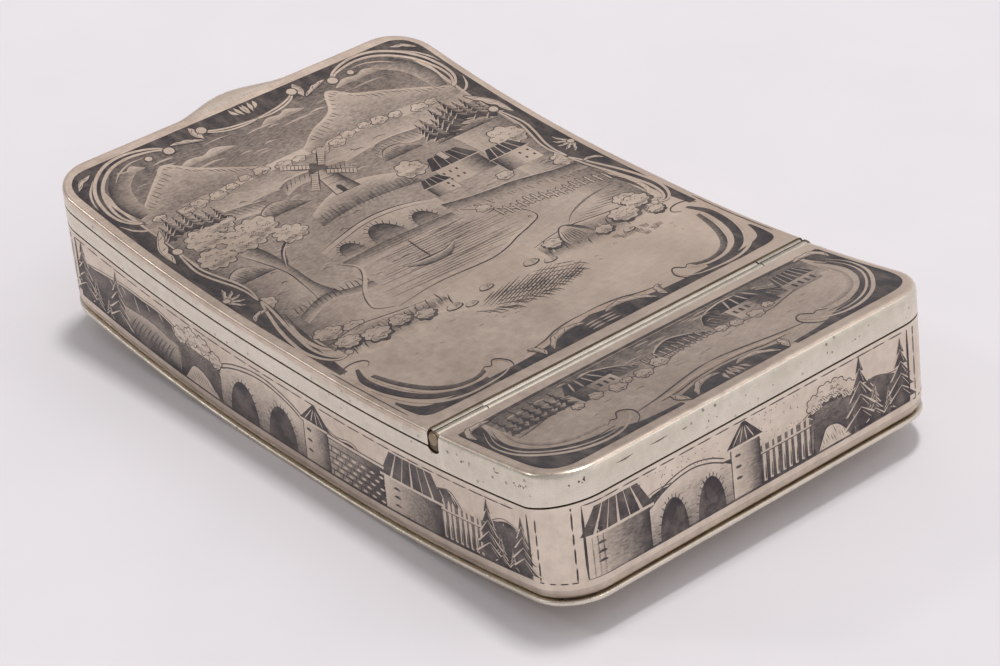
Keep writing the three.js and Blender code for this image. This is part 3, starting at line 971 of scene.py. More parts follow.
def lid_woods(art):
    """Rows of firs at both sides, and rocks."""
    for n, tall in enumerate((3.6, 4.8, 4.2, 5.4, 4.4, 5.0, 3.9, 4.6, 3.8)):
        fir(art, 13.2 + 1.05 * n, 22.4 - 0.9 * math.sin(n * 0.9), tall, 4)
    for n, tall in enumerate((3.0, 3.8, 3.3, 4.1, 3.5, 3.1, 2.7)):
        fir(art, -21.0 + 1.1 * n, 24.8 + 0.4 * math.sin(n), tall, 4)
    for u, v, wide, deep in ((-19.2, -13.6, 5.5, 2.6), (17.0, -21.6, 9.0, 1.8), (-8.5, -21.8, 6.5, 2.2),
                             (8.5, -22.6, 5.5, 2.0)):
        rock = smooth(at(u - wide / 2, v, u - wide / 3, v - deep * 0.7, u - 0.1 * wide, v - deep,
                         u + wide / 4, v - deep * 0.75, u + wide / 2, v), 0.6)
        art.strip(rock, brought_to(rock, v + 0.25), 0.1, 0.95, 4)
        art.stroke(rock[::4], 0.16, 0.9, 5)
        art.hatch(rock, 72, 0.4, 0.12, 0.85, 5, 0.5)


def lid_mill(art):
    """A windmill on its mound."""
    crest = at(-7, -19.2, -3, -21, 1.5, -21.4, 6, -19.6)
    art.field(crest, at(-7.5, -16.6, -3, -17.4, 1.5, -17.4, 6.5, -16.6), 0.05, 0.85, 4)
    art.stroke(crest, 0.3, 0.0, 5)
    for n in range(22):
        u = -6.6 + 0.58 * n
        art.stroke(at(u, -16.9, u + 0.25, -17.9, u + 0.3, -18.9 + art.rng.uniform(-0.5, 0.3)), 0.13, 0.9, 5)
    art.fill(at(-2.5, -20.6, 0.9, -20.6, 0.2, -25.8, -1.8, -25.8), 0.95, 5)
    art.strip(at(-2.35, -20.7, -1.7, -25.7), at(-1.0, -20.7, -0.9, -25.7), 0.05, 0.2, 6)
    art.strip(at(-1.0, -20.7, -0.9, -25.7), at(0.8, -20.7, 0.1, -25.7), 0.2, 0.98, 6)
    art.fill(at(-2.1, -25.7, 0.5, -25.7, -0.1, -27.0, -0.8, -27.5, -1.6, -27.0), 0.9, 7)
    for v in (-21.6, -22.9, -24.2):
        art.stroke(at(-2.2, v, -0.8, v + 0.15, 0.6, v), 0.09, 0.9, 7)
    art.fill(at(-1.5, -20.7, -0.8, -20.7, -0.8, -22.0, -1.15, -22.3, -1.5, -22.0), 0.95, 8)
    hub = (-0.8, -26.0)
    for angle in (35, 125, 215, 305):
        c, s = math.cos(math.radians(angle)), math.sin(math.radians(angle))

        def blade(out, aside):
            return (hub[0] + c * out - s * aside, hub[1] + s * out + c * aside)

        art.fill([blade(0.9, 0.0), blade(4.3, 0.0), blade(4.3, 1.0), blade(0.9, 0.8)], 0.05, 8)
        art.stroke([hub, blade(2, 0), blade(4.5, 0)], 0.2, 1.0, 9, 0.05, curved=False)
        edge = [blade(0.9, 0.8), blade(2.5, 0.9), blade(4.3, 1.0)]
        art.stroke(edge, 0.11, 1.0, 9, 0.05, curved=False)
        for n in range(9):
            slat = [blade(0.9 + 0.42 * n, 0.0), blade(0.9 + 0.42 * n, 0.95)]
            art.stroke(slat, 0.09, 0.9, 9, 0.05, curved=False)


def lid_cottages(art):
    """Cottages and bushes on the right bank."""
    art.blob((19.6, -17.6), 2.4, 0.95, 8, 0.06, 5)
    art.blob((7.0, -19.4), 1.9, 0.95, 7, 0.06, 5)
    art.house(8.6, 14.6, -13.6, 3.6, 2.5, 6, 1, 3)
    art.house(14.9, 19.8, -11.6, 3.2, 2.1, 7, -1, 2, slats=True)
    art.house(5.6, 8.9, -12.8, 2.2, 1.6, 7, -1, 1)
    art.box(11.0, 11.9, -18.4, -20.0, 0.1, 9)
    art.line(at(11.0, -18.3, 11.0, -20.0, 11.9, -20.0, 11.9, -18.3), 0.12, 1, 10)
    art.blob((21.0, -9.6), 1.7, 0.9, 7, 0.06, 8)
    art.blob((13.8, -11.3), 1.1, 0.8, 6, 0.05, 9)
    right_bank = smooth(at(4.6, -11.4, 9, -10.4, 14, -9.8, 18, -8.6, 22.2, -8.0), 0.8)
    art.strip(right_bank, moved(right_bank, 0, 1.9), 0.95, 0.3, 8)
    art.hatch(right_bank + moved(right_bank[::-1], 0, 3.0), 76, 0.5, 0.13, 0.8, 8, 0.5)
    art.stroke(right_bank[::4], 0.2, 0.0, 9)


def lid_tree(art):
    """The great tree on the left, with its roots in the grass."""
    art.field(at(-16.9, -5.2, -16.3, -8.4, -16.0, -12.0, -16.9, -15.6, -18.0, -18.4),
              at(-14.2, -5.0, -15.0, -8.4, -14.9, -12.0, -14.9, -15.6, -15.4, -18.6), 0.1, 0.97, 5, 0.6)
    art.stroke(at(-16.9, -5.0, -16.3, -8.4, -16.0, -12.0, -16.9, -15.6, -18.0, -18.6), 0.14, 1, 6)
    art.stroke(at(-15.2, -13.2, -13.6, -15.8, -11.8, -17.4), (0.75, 0.5, 0.25), 0.95, 5, 0.1)
    art.stroke(at(-15.3, -13.0, -13.8, -15.4, -12.2, -16.9), 0.2, 0.05, 6)
    for u, v, size in ((-19.8, -19.2, 2.3), (-10.9, -18.0, 2.1), (-12.9, -21.2, 2.5), (-18.6, -23.0, 2.4),
                       (-15.4, -20.2, 2.6), (-15.8, -24.6, 2.1)):
        art.blob((u, v), size, 0.86, 9, 0.05, 7)
    root = smooth(at(-20.5, -4.0, -17.6, -5.4, -15.6, -5.8, -13.0, -4.8, -10.6, -4.4), 0.6)
    art.strip(root, moved(root, 0, 1.6), 0.9, 0.0, 6)
    for n in range(16):
        u = -20.2 + 0.62 * n
        tip = (u + art.rng.uniform(0.1, 0.6), -5.9 - art.rng.uniform(0, 0.5))
        art.stroke([(u, -4.4), (u + 0.2, -5.2), tip], 0.13, 0.95, 7)


def lid_bridge(art):
    """A bridge with three arches."""
    deck = smooth(at(-11.0, -12.6, -7.5, -13.8, -3.0, -14.8, 1.4, -14.4, 5.2, -12.8), 0.5)
    foot = [(u, -9.6 + 0.05 * u) for u, v in deck]
    art.strip(deck, foot, 0.02, 0.4, 8)
    art.stroke(deck[::5], 0.16, 1.0, 10)
    art.stroke(moved(deck[::5], 0, 0.75), 0.12, 0.9, 10)
    for u, wide, high in ((-8.2, 2.9, 2.2), (-3.4, 4.2, 3.3), (1.6, 3.0, 2.5)):
        base = -9.7 + 0.05 * u
        arch = arch_of(u, base, wide / 2, high, 12)
        art.strip(arch, brought_to(arch, base + 0.05), 1.0, 0.5, 9)
        for stone in list(zip(arch, arch_of(u, base, 0.61 * wide, 1.2 * high, 12)))[1:-1]:
            art.line(stone, 0.1, 0.95, 10)


def lid_river(art):
    """The river, its ripples and its banks."""
    for _ in range(34):
        u, v = art.rng.uniform(-10.5, 4.6), art.rng.uniform(-12.6, -10.2)
        art.line(across(u, u + 0.45, v), 0.09, 0.6, 8)
    river = smooth(at(-10.8, -9.9, -9.5, -7.0, -12.4, -3.6, -13.6, -0.2), 0.8)
    river += smooth(at(2.2, 0.4, 9.8, -1.6, 9.4, -5.2, 4.8, -9.6), 0.8)
    art.hatch(river, 2, 0.42, 0.13, 0.85, 7, 0.35)
    art.hatch(river, -3, 1.3, 0.34, 0.7, 7, 0.55, 0.8)
    shade_edge = smooth(at(-10.6, -9.5, -3.4, -9.8, 4.4, -9.4), 0.8)
    art.strip(shade_edge, moved(shade_edge, 0, 2.3), 0.8, 0.0, 6)
    left_bank = smooth(at(-10.9, -9.6, -9.8, -7.0, -12.2, -3.6, -13.8, -0.2, -12.0, 1.4), 0.6)
    art.stroke(left_bank[::4], (0.3, 0.5, 0.3), 0.0, 9)
    art.stroke(moved(left_bank[::4], -0.3, 0), 0.16, 0.95, 9)
    near_bank = smooth(at(-12.0, 1.4, -6, 0.6, 1.5, 0.9, 6, -0.6, 10.4, -2.4, 10.0, -5.0, 5.4, -9.4), 0.6)
    art.stroke(near_bank[::4], (0.2, 0.45, 0.3), 0.0, 9)
    art.stroke(moved(near_bank[::4], 0, 0.3), 0.17, 0.95, 9)


def lid_shore(art):
    """A moored boat, a paling fence and a lane."""
    gunwale = at(-6.6, -4.4, -4.4, -3.7, -1.2, -3.7, 1.0, -4.7)
    art.field(gunwale, at(-5.9, -3.6, -4.2, -2.6, -1.4, -2.6, 0.1, -3.7), 0.25, 1.0, 10, 0.4)
    art.stroke(at(-6.8, -4.5, -4.4, -3.75, -1.2, -3.75, 1.2, -4.8), 0.18, 0.0, 11)
    art.stroke(at(-6.9, -4.65, -4.4, -3.95, -1.2, -3.95, 1.3, -5.0), 0.1, 1.0, 11)
    art.stroke(at(-3.0, -4.0, -2.9, -6.0, -2.7, -8.2), 0.15, 1.0, 11, 0.1)
    for n in range(15):
        u = 8.2 + 0.95 * n
        v = -4.9 + 0.16 * n + 0.25 * math.sin(n)
        art.board(u - 0.2, u + 0.24, u + 0.02, v, v - 1.7, v - 2.05, 0.95, 9)
        art.board(u - 0.1, u + 0.14, u + 0.02, v, v - 1.65, v - 1.85, 0.04, 10)
    for rise in (0.55, 1.25):
        art.stroke(at(7.9, -4.9 - rise, 14, -3.9 - rise, 21.8, -2.6 - rise), 0.2, 0.95, 9, 0.05)
        art.stroke(at(7.9, -4.92 - rise, 14, -3.92 - rise, 21.8, -2.62 - rise), 0.1, 0.05, 10, 0.05)
    lane = smooth(at(22, -1.6, 17, -1.2, 12.6, 0.6, 10.2, 3.4), 0.8)
    art.stroke(lane[::4], (0.12, 0.3, 0.12), 0.75, 4)
    verge = at(10.6, 2.8, 12.8, 1.2, 17.4, -0.4, 21.4, -0.6, 21.0, 1.4, 16, 2.6)
    art.hatch(verge, 14, 0.5, 0.13, 0.8, 4, 0.3)
    for u, v, size in ((-20.4, 0.6, 1.7), (-17.6, 1.4, 1.3), (19.4, 2.0, 1.5), (7.4, -7.6, 0.9),
                       (-21.4, -8.8, 1.5), (21.2, 5.0, 1.1)):
        art.blob((u, v), size, 0.8, 7, 0.05, 8)


def lid_mound(art):
    """A dark grassy mound with tufts round it."""
    mound = [(0.6 + 7.0 * u, 8.9 + 2.6 * v) for u, v in round_of(0, 0, 1, 24)]
    art.hatch(mound, 158, 0.36, 0.2, 0.95, 4, 0.2)
    art.hatch(mound, 28, 0.8, 0.15, 0.8, 5, 0.3)
    for n in range(30):
        u = -6.2 + 0.46 * n + art.rng.uniform(-0.2, 0.2)
        v = 9.2 + 2.6 * math.sqrt(max(0, 1 - ((u - 0.6) / 7.2) ** 2)) + art.rng.uniform(-0.4, 0.4)
        art.stroke([(u, v), (u - 0.3, v - 0.8), (u - 0.9, v - 1.3)], 0.14, 0.85, 5)
    for _ in range(26):
        u, v = art.rng.uniform(-19, 20), art.rng.uniform(7.5, 12)
        size = art.rng.uniform(0.25, 0.9)
        art.stroke(from_here(u, v, size / 2, -0.1, size, 0.06), 0.1, 0.55, 3)
    for _ in range(9):
        u, v = art.rng.uniform(9, 19), art.rng.uniform(7.6, 10.5)
        for k in range(4):
            art.stroke(from_here(u + 0.2 * k, v, 0.05, -0.4, 0.1 * k - 0.2, -0.9), 0.1, 0.75, 4)


def lid_banks(art):
    """Banks with bushes and reeds on both sides."""
    for left, high, right, low in ((-21.6, 2.2, -7.4, 5.6), (5.6, 2.6, 21.6, 6.4)):
        third, far = 0.7 * left + 0.3 * right, 0.35 * left + 0.65 * right
        crest = smooth(at(left, high + 0.6, third, high - 0.3, far, high + 0.5, right, high + 1.2), 0.7)
        base = smooth(at(left, low, third, low + 0.8, far, low + 0.5, right, low - 0.8), 0.7)
        upper, lower = in_steps(crest, 24), in_steps(base, 24)
        middle = [((a + c) / 2, (b + d) / 2) for (a, b), (c, d) in zip(upper, lower)]
        art.strip(upper, middle, 0.12, 0.72, 8)
        art.strip(middle, lower, 0.72, 0.0, 8)
        art.stroke(crest[::4], (0.2, 0.42, 0.2), 0.0, 9)
        art.stroke(moved(crest[::4], 0, -0.28), 0.15, 0.95, 9)
        for n in range(round((right - left) / 0.5)):
            u = left + 0.4 + 0.5 * n
            v = low - 0.4 + art.rng.uniform(-1.2, 1.0)
            tip = (u + art.rng.uniform(0.2, 0.8), v - art.rng.uniform(1.2, 2.2))
            art.stroke([(u, v), (u + 0.25, v - 0.9), tip], 0.17, art.rng.choice((0.0, 0.95, 0.95)), 9)
    for u, v, size in ((-19.9, 3.4, 1.5), (-16.9, 4.3, 1.7), (-13.6, 3.9, 1.3), (-11.0, 4.9, 1.2),
                       (7.6, 3.6, 1.2), (17.2, 4.4, 1.9), (20.0, 3.2, 1.7), (13.4, 5.4, 1.1),
                       (20.3, 6.2, 1.0)):
        art.blob((u, v + 0.3), size * 1.06, 0.8, 7, 0.9, 10, False)
        art.blob((u, v), size, 0.8, 8, 0.04, 12)


def lid_haystack(art):
    """A haystack, and stones along the water."""
    stack = smooth(at(8.7, 5.3, 9.0, 3.2, 10.6, 1.5, 12.2, 3.0, 12.7, 5.3), 0.5)
    art.strip(stack, brought_to(stack, 5.4), 0.05, 0.5, 12)
    right_side = [(u, v) for u, v in stack if u > 10.9]
    art.strip(right_side, [(12.7, 5.35)] * len(right_side), 0.9, 0.6, 13)
    art.stroke(stack[::3], 0.17, 0.95, 14)
    for n in range(7):
        u = 9.1 + 0.36 * n
        art.stroke(at(u, 5.2, u + 0.1, 4.0, 0.55 * u + 4.8, 2.4), 0.15, 0.85, 14)
    for u, v, size in ((-8.0, 6.0, 0.9), (-6.4, 6.9, 0.7), (3.4, 4.9, 0.9), (5.2, 6.0, 0.75),
                       (-3.2, 5.4, 0.8), (15.2, 7.4, 0.7)):
        angles = [math.tau * k / 12 for k in range(12)]
        stone = [(u + size * math.cos(a) * (1 + 0.12 * math.sin(3 * a)), v + 0.62 * size * math.sin(a))
                 for a in angles]
        art.fill([(u + (a - u) * 1.15, v + (b - v) * 1.2 + 0.06) for a, b in stone], 0.95, 10)
        art.fill(stone, 0.03, 11)
        art.hatch([p for p in stone if p[0] > u - 0.1], 70, 0.24, 0.12, 0.9, 12, 0.2)


def lid_border_ground(art):
    """The dark ground of the border, over the edges of the landscape."""
    far_edge = at(-24.5, -36.0, -24.5, -37.2, -24.35, -38.9, -23.6, -40.4, -22.2, -41.3, -20.4, -41.45,
                  -14, -41.45, -7, -41.45, 0, -41.45)
    far_inside = at(-22.7, -35.0, -22.0, -36.9, -21.2, -38.3, -20.0, -39.3, -18.5, -40.2, -16.6, -40.7,
                    -13, -39.9, -7, -38.9, 0, -38.4)
    art.field(far_edge, far_inside, 0.96, 0.92, GROUND)
    side_edge = [(-24.5, v) for v in (-36.1, -30, -25.5, -20, -14, -8, -2, 5, 8)]
    side_inside = at(-22.7, -35.1, -22.4, -29.8, -22.2, -25.6, -22.3, -20, -21.1, -13, -21.3, -7, -22.6, -2,
                     -23.2, 4.6, -23.6, 8)
    art.strip(side_edge, side_inside, 0.97, 0.9, GROUND)
    near_inside = at(-24.1, 16.6, -23.6, 18.2, -22.6, 19.6, -20, 20.2, -15, 20.3, -9.6, 20.2,
                     -6, 19.7, 0, 18.3)
    near_edge = at(-24.35, 16.8, -24.3, 19.2, -23.6, 21.2, -20, 21.6, -15, 21.6, -9.6, 21.6,
                   -6, 21.6, 0, 21.6)
    art.field(near_inside, near_edge, 0.92, 0.98, GROUND)
    art.field(at(-19.6, -39.0, -21.4, -36.6, -22.2, -33.4, -21.6, -30.4),
              at(-16.6, -38.0, -18.9, -36.0, -19.8, -33.4, -19.9, -30.8), 0.95, 0.3, UNDER, 0.6)


def lid_far_corner(art):
    """A scroll with buds in the far corner."""
    spine = at(-11.6, -38.9, -12.6, -39.9, -14.6, -40.6, -16.6, -40.8, -18.6, -40.4, -20.3, -39.4,
               -21.7, -38.0, -22.7, -36.3, -23.2, -34.6, -23.4, -33.0, -23.2, -31.4, -22.5, -30.2,
               -21.9, -29.7)
    art.scroll(spine, 1.25, (0.38, -0.34), 0.34, 0.97, BED, (0.62, 0.0))
    art.stroke(at(-24.2, -34.6, -23.9, -36.0, -23.1, -37.6, -21.6, -39.3), 0.26, 0.03, LEAF)
    art.stroke(at(-14.6, -39.5, -16.6, -39.5, -18.6, -38.6, -19.9, -37.4), 0.2, 0.03, LEAF)
    art.bud((-14.3, -39.0), 0.42, LEAF)
    art.leaf(at(-23.9, -38.6, -22.9, -39.9, -21.2, -40.4), 0.55, 2, LEAF)
    art.stroke(at(-24.2, -30.7, -23.5, -29.2, -22.5, -28.3, -21.4, -28.0), 0.3, 0.0, LEAF)


def lid_far_middle(art):
    """A shallow scroll with leaves, and a fan between its ends."""
    art.scroll(at(-6.4, -39.9, -5.6, -39.1, -4.0, -38.4, -2.0, -38.05, 0, -38.0), 0.8, (0.28, -0.28), 0.36,
               0.95, BED, (0.6, 0))
    art.leaf(at(-7.0, -38.4, -7.6, -39.6, -7.4, -41.1), 0.95, 3, LEAF)
    art.leaf(at(-7.2, -38.2, -9.0, -38.9, -11.0, -39.6), 0.6, 3, LEAF)
    for n, high in enumerate((1.9, 1.75, 1.4)):
        art.stroke(at(-0.2 - 0.75 * n, -41.2, -0.15 - 0.7 * n, -40.4, -0.1 - 0.5 * n, -41.2 + high),
                   (0.2, 0.5, 0.24), 0.04, LEAF, 0.3)


def lid_sides(art):
    """A leaf, a long scroll, a shell and a counter scroll along each side."""
    art.leaf(at(-23.7, -21.2, -23.6, -24.0, -22.6, -25.9, -21.4, -27.4), 0.95, 3, LEAF)
    art.scroll(at(-22.2, -23.0, -22.5, -20.6, -22.6, -18.4, -22.1, -16.2, -21.4, -13.8, -21.2, -11.8,
                  -21.5, -9.8), 1.0, (0.36, -0.34), 0.32, 0.95, BED, (0.55, 0))
    for n in range(5):
        a = math.radians(-58 + 27 * n)
        c, s = math.cos(a), math.sin(a)
        art.leaf(from_here(-24.2, -11.9, 1.1 * c, 1.3 * s, 2.1 * c, 2.6 * s), 0.42, 2, LEAF)
    art.bud((-24.0, -11.9), 0.4, BUD)
    art.leaf(at(-24.2, -6.6, -23.3, -7.4, -21.9, -7.6), 0.5, 2, LEAF, side=-1)
    art.scroll(at(-21.4, -9.4, -22.2, -6.4, -23.0, -3.6, -23.6, -0.8, -23.9, 1.8, -23.5, 4.0, -22.5, 5.3,
                  -21.1, 5.1), 1.35, (0.38, -0.36), 0.3, 0.96, BED, (0, 0.4))
    art.stroke(at(-21.7, -5.4, -22.5, -2.4, -22.9, 0.4, -22.8, 2.4, -22.2, 3.5, -21.6, 3.4), (0.1, 0.4, 0.3),
               0.0, LINE)
    art.stroke(at(-21.2, -5.6, -22.0, -2.4, -22.4, 0.4, -22.3, 2.2, -21.9, 2.9), (0.1, 0.5, 0.1), 0.95, LEAF)


def lid_near_corner(art):
    """Broad bright scrolls round the near corner."""
    art.stroke(at(-24.2, 8.4, -23.6, 7.4, -22.4, 7.1, -21.3, 7.4, -20.9, 8.1, -21.6, 8.8), 0.16, 0.95, LEAF)
    outside = at(-22.9, 8.4, -23.9, 10.4, -24.0, 12.2, -23.6, 14.6, -22.6, 17.2, -20.9, 19.3, -18.4, 20.4,
                 -15.0, 20.5)
    inside = at(-22.5, 8.5, -23.1, 10.4, -23.1, 12.2, -22.6, 14.6, -21.6, 16.9, -20.0, 18.8, -17.9, 19.7,
                -15.0, 19.9)
    art.field(outside, inside, 0.97, 0.92, GROUND, 0.6)
    art.stroke(at(-24.3, 9.2, -24.3, 12.2, -23.9, 14.9, -22.9, 17.8, -21.2, 20.0, -18.6, 21.1, -15.4, 21.1,
                  -13.0, 20.6, -11.7, 19.4, -12.0, 18.2, -12.6, 17.9),
               (0.2, 0.36, 0.42, 0.36, 0.3), 0.0, LEAF)
    art.field(at(-22.6, 10.6, -22.2, 13.0, -21.4, 15.4, -20.2, 17.6, -18.3, 19.1, -16.0, 19.5, -14.4, 19.0),
              at(-22.1, 10.6, -21.5, 13.0, -20.7, 15.2, -19.5, 17.2, -17.9, 18.5, -16.0, 18.9, -14.2, 18.4),
              0.95, 0.7, GROUND, 0.6)
    art.stroke(at(-22.9, 10.4, -22.5, 13.2, -21.7, 15.7, -20.4, 18.0, -18.4, 19.5, -16.0, 19.9, -14.4, 19.5,
                  -13.4, 18.6), (0.16, 0.3, 0.34, 0.26), 0.0, LEAF)
    art.stroke(at(-14.8, 18.6, -13.8, 18.1, -13.3, 18.5, -12.5, 17.6, -11.8, 18.0, -11.4, 19.2, -11.9, 20.4,
                  -13.0, 21.1), 0.15, 0.95, LINE)
    art.stroke(at(-24.9, 7.0, -24.86, 13, -24.9, 19.6), 0.12, 0.85, GROUND, 0.1)


def lid_near_middle(art):
    """Two leaves over dark ground, with a fan."""
    art.leaf(at(-8.2, 21.3, -8.4, 20.0, -8.9, 18.9), 0.7, 2, LEAF)
    art.leaf(at(-7.0, 21.0, -5.6, 19.6, -3.4, 18.9, -1.4, 19.2), 0.75, 4, LEAF, side=-1)
    art.stroke(at(-9.2, 19.3, -6.6, 18.8, -4.4, 18.0, -2.0, 17.6, 0, 17.6), 0.2, 0.9, BED)
    art.stroke(at(-8.4, 19.6, -6.2, 18.95, -3.8, 18.3, -1.6, 18.05, 0, 18.05), 0.24, 0.0, LEAF)
    for v in (19.8, 20.4, 21.0):
        art.stroke(at(-1.9, v, -1.0, v - 0.1, 0, v - 0.12), 0.26, 0.05, LEAF)


lid_art = Drawing(7)
for part in (lid_sky, lid_ridges, lid_fields, lid_shading, lid_woods, lid_mill, lid_cottages, lid_tree,
             lid_bridge, lid_river, lid_shore, lid_mound, lid_banks, lid_haystack):
    part(lid_art)
lid_art.mirror = True
for part in (lid_border_ground, lid_far_corner, lid_far_middle, lid_sides, lid_near_corner, lid_near_middle):
    part(lid_art)
LID_SLABS = range(-41, 22)


def on_lid(u, v, lift):
    """A place on the lid's flat top."""
    return v, u, TOP + lift


lid_art.piece("lid_engraving", on_lid, "lid", LID_SLABS, (0, 1, 0), ENGRAVED_SILVER)

# End cover: a narrow strip of countryside below the hinge, over plain silver, in a scrolled frame
COVER_TOP = 26.9
COVER_LAND = smooth(at(-21.4, 31.2, -17, 30.4, -14.2, 29.2, -9.5, 30.1, -4.5, 31.3, 1, 30.6, 6, 30.9,
                       11, 31.6, 16, 30.8, 21.4, 30.2), 0.8)


def cover_wash(art):
    """Faint shading over the whole cover."""
    wash = at(-24.2, 27, -12, 26.8, 0, 26.8, 12, 26.8, 24.2, 27)
    art.strip(wash, brought_to(wash, 34), 0.2, 0.14, 0)
    art.strip(brought_to(wash, 34), at(-23, 40.6, -12, 41, 0, 41, 12, 41, 23, 40.6), 0.14, 0.26, 0)


def cover_hills(art):
    """A shaded sky with streaks, and three dark hills."""
    sky_edge = brought_to(COVER_LAND, COVER_TOP)
    mid = [(u, COVER_TOP + 0.45 * (v - COVER_TOP)) for u, v in COVER_LAND]
    art.strip(sky_edge, mid, 0.8, 0.6, 1)
    art.strip(mid, COVER_LAND, 0.6, 0.3, 1)
    for _ in range(26):
        u, v = art.rng.uniform(-20, 18), art.rng.uniform(27.1, 29.4)
        size = art.rng.uniform(0.8, 3)
        art.stroke(from_here(u, v, size / 2, -0.06, size, 0.05), art.rng.uniform(0.1, 0.24), 0.12, 2)
    for left, top, right, deep in ((-12.5, 27.4, -4.5, 2.7), (5.4, 27.2, 15.8, 3.2), (-2.6, 28.4, 5.0, 2.0)):
        middle = (left + right) / 2
        ridge = smooth(at(left, top + 1.9, left + 1.4, top + 0.6, middle, top, right - 1.6, top + 0.9,
                          right, top + 2.1), 0.6)
        art.strip(ridge, brought_to(ridge, top + deep), 1.0, 0.75, 2)
        art.stroke(ridge[::3], 0.2, 0.0, 3)
        art.hatch(ridge + brought_to(ridge[::-1], top + deep), 64, 0.55, 0.1, 0.3, 3, 0.3)


def cover_firs(art):
    """A row of firs on the left."""
    for n, tall in enumerate((3.4, 2.6, 3.7, 2.9, 3.5, 2.4, 3.1)):
        u = -20.6 + 1.15 * n
        for k in range(4):
            wide = 0.25 + 0.2 * k
            low = 30.6 - tall + tall * (k + 1) / 4
            tier = at(u, low - tall / 4 - 0.25, u + wide, low - 0.1, u + wide * 0.4, low - 0.2, u, low,
                      u - wide * 0.4, low - 0.2, u - wide, low - 0.1)
            art.fill(tier, 0.96, 4 + k)
            art.stroke(at(u + 0.06, low - tall / 4, u + wide * 0.5, low - 0.3), 0.04, 0.1, 9, 0.1)


def cover_barn(art):
    """A low barn on the right."""
    art.strip(at(16.4, 27.6, 19.8, 27.6), at(15.6, 29.4, 20.6, 29.4), 0.97, 0.9, 5)
    art.strip(at(16.1, 29.4, 20.2, 29.4), at(16.1, 30.9, 20.2, 30.9), 0.25, 0.6, 5)
    for k in range(6):
        art.line(at(16.7 + 0.58 * k, 27.65, 16.2 + 0.76 * k, 29.35), 0.1, 0.1, 7)
    for k in range(4):
        art.box(16.8 + 0.85 * k, 17.15 + 0.85 * k, 29.8, 30.5, 0.95, 7)


def cover_fence(art):
    """A fence, a hedge and grass in front of it."""
    for k in range(11):
        u = -3.5 + 0.8 * k
        art.board(u - 0.16, u + 0.18, u, 30.9, 29.5, 29.2, 0.95, 6)
        art.board(u - 0.07, u + 0.09, u, 30.85, 29.55, 29.35, 0.03, 7)
    art.stroke(at(-3.9, 30.3, 0, 30.35, 4.9, 30.3), 0.17, 0.9, 8, 0.05)
    for n in range(13):
        u = -13.2 + 2.1 * n + art.rng.uniform(-0.5, 0.5)
        if not -2 < u < 4:
            art.blob((u, 30.9 + art.rng.uniform(-0.3, 0.4)), art.rng.uniform(0.6, 1.05), 0.75, 6, 0.05, 8)
    art.stroke(COVER_LAND[::5], 0.16, 0.8, 5, 0.03)
    for _ in range(16):
        u, v = art.rng.uniform(-18, 18), art.rng.uniform(31.6, 33.4)
        blade = from_here(u, v, 0.5, -0.08, art.rng.uniform(0.7, 1.3), 0.05)
        art.stroke(blade, 0.1, 0.6, 3)


def cover_houses(art):
    """A cottage and a barn among the bushes."""
    for left, right, high, low, way in ((-12.6, -7.2, 27.5, 31.0, 1), (8.6, 14.2, 27.3, 30.8, -1)):
        split = high + 1.5
        near, far = (left, right) if way > 0 else (right, left)
        third = near + 0.42 * (far - near)
        art.upright(near, third, low, split, 1.0, 0.75, 5)
        art.upright(third, far, low, split, 0.5, 0.0, 5)
        art.strip(across(left - 0.5, right + 0.5, split), across(left + 0.8, right - 0.8, high), 1.0, 0.92, 6)
        for k in range(1, 5):
            board = at(left - 0.5 + k / 5 * (right - left + 1), split,
                       left + 0.8 + k / 5 * (right - left - 1.6), high)
            art.stroke(board, 0.2, 0.06, 7, 0.05, curved=False)
        for k in range(3):
            u = third + (far - third) * (0.3 + 0.25 * k)
            art.box(u - 0.17, u + 0.17, split + 0.5, split + 1.1, 0.95, 7)


def cover_frame_ground(art):
    """The dark ground of the frame."""
    art.stroke(at(-24.3, 26.95, -16, 26.65, -8, 26.55, 0, 26.5), 0.42, 0.92, GROUND, 0)
    edge = at(-24.4, 27.0, -24.4, 31, -24.4, 35, -24.3, 38, -23.7, 39.9, -22.4, 40.9, -20.6, 41.15,
              -17, 41.15, -12, 41.15, -7.6, 41.15)
    inside = at(-21.9, 27.4, -22.7, 30.4, -22.9, 33, -22.2, 35.2, -20.9, 36.9, -19.2, 38.1, -17.4, 38.8,
                -15, 39.1, -12, 40.2, -7.6, 40.6)
    art.field(edge, inside, 0.98, 0.93, GROUND, 0.7)
    middle_edge = at(-6.6, 41.15, -4, 41.15, -1.5, 41.15, 0, 41.15)
    art.strip(middle_edge, at(-6.4, 39.4, -4, 38.7, -1.5, 38.3, 0, 38.2), 0.97, 0.9, GROUND)


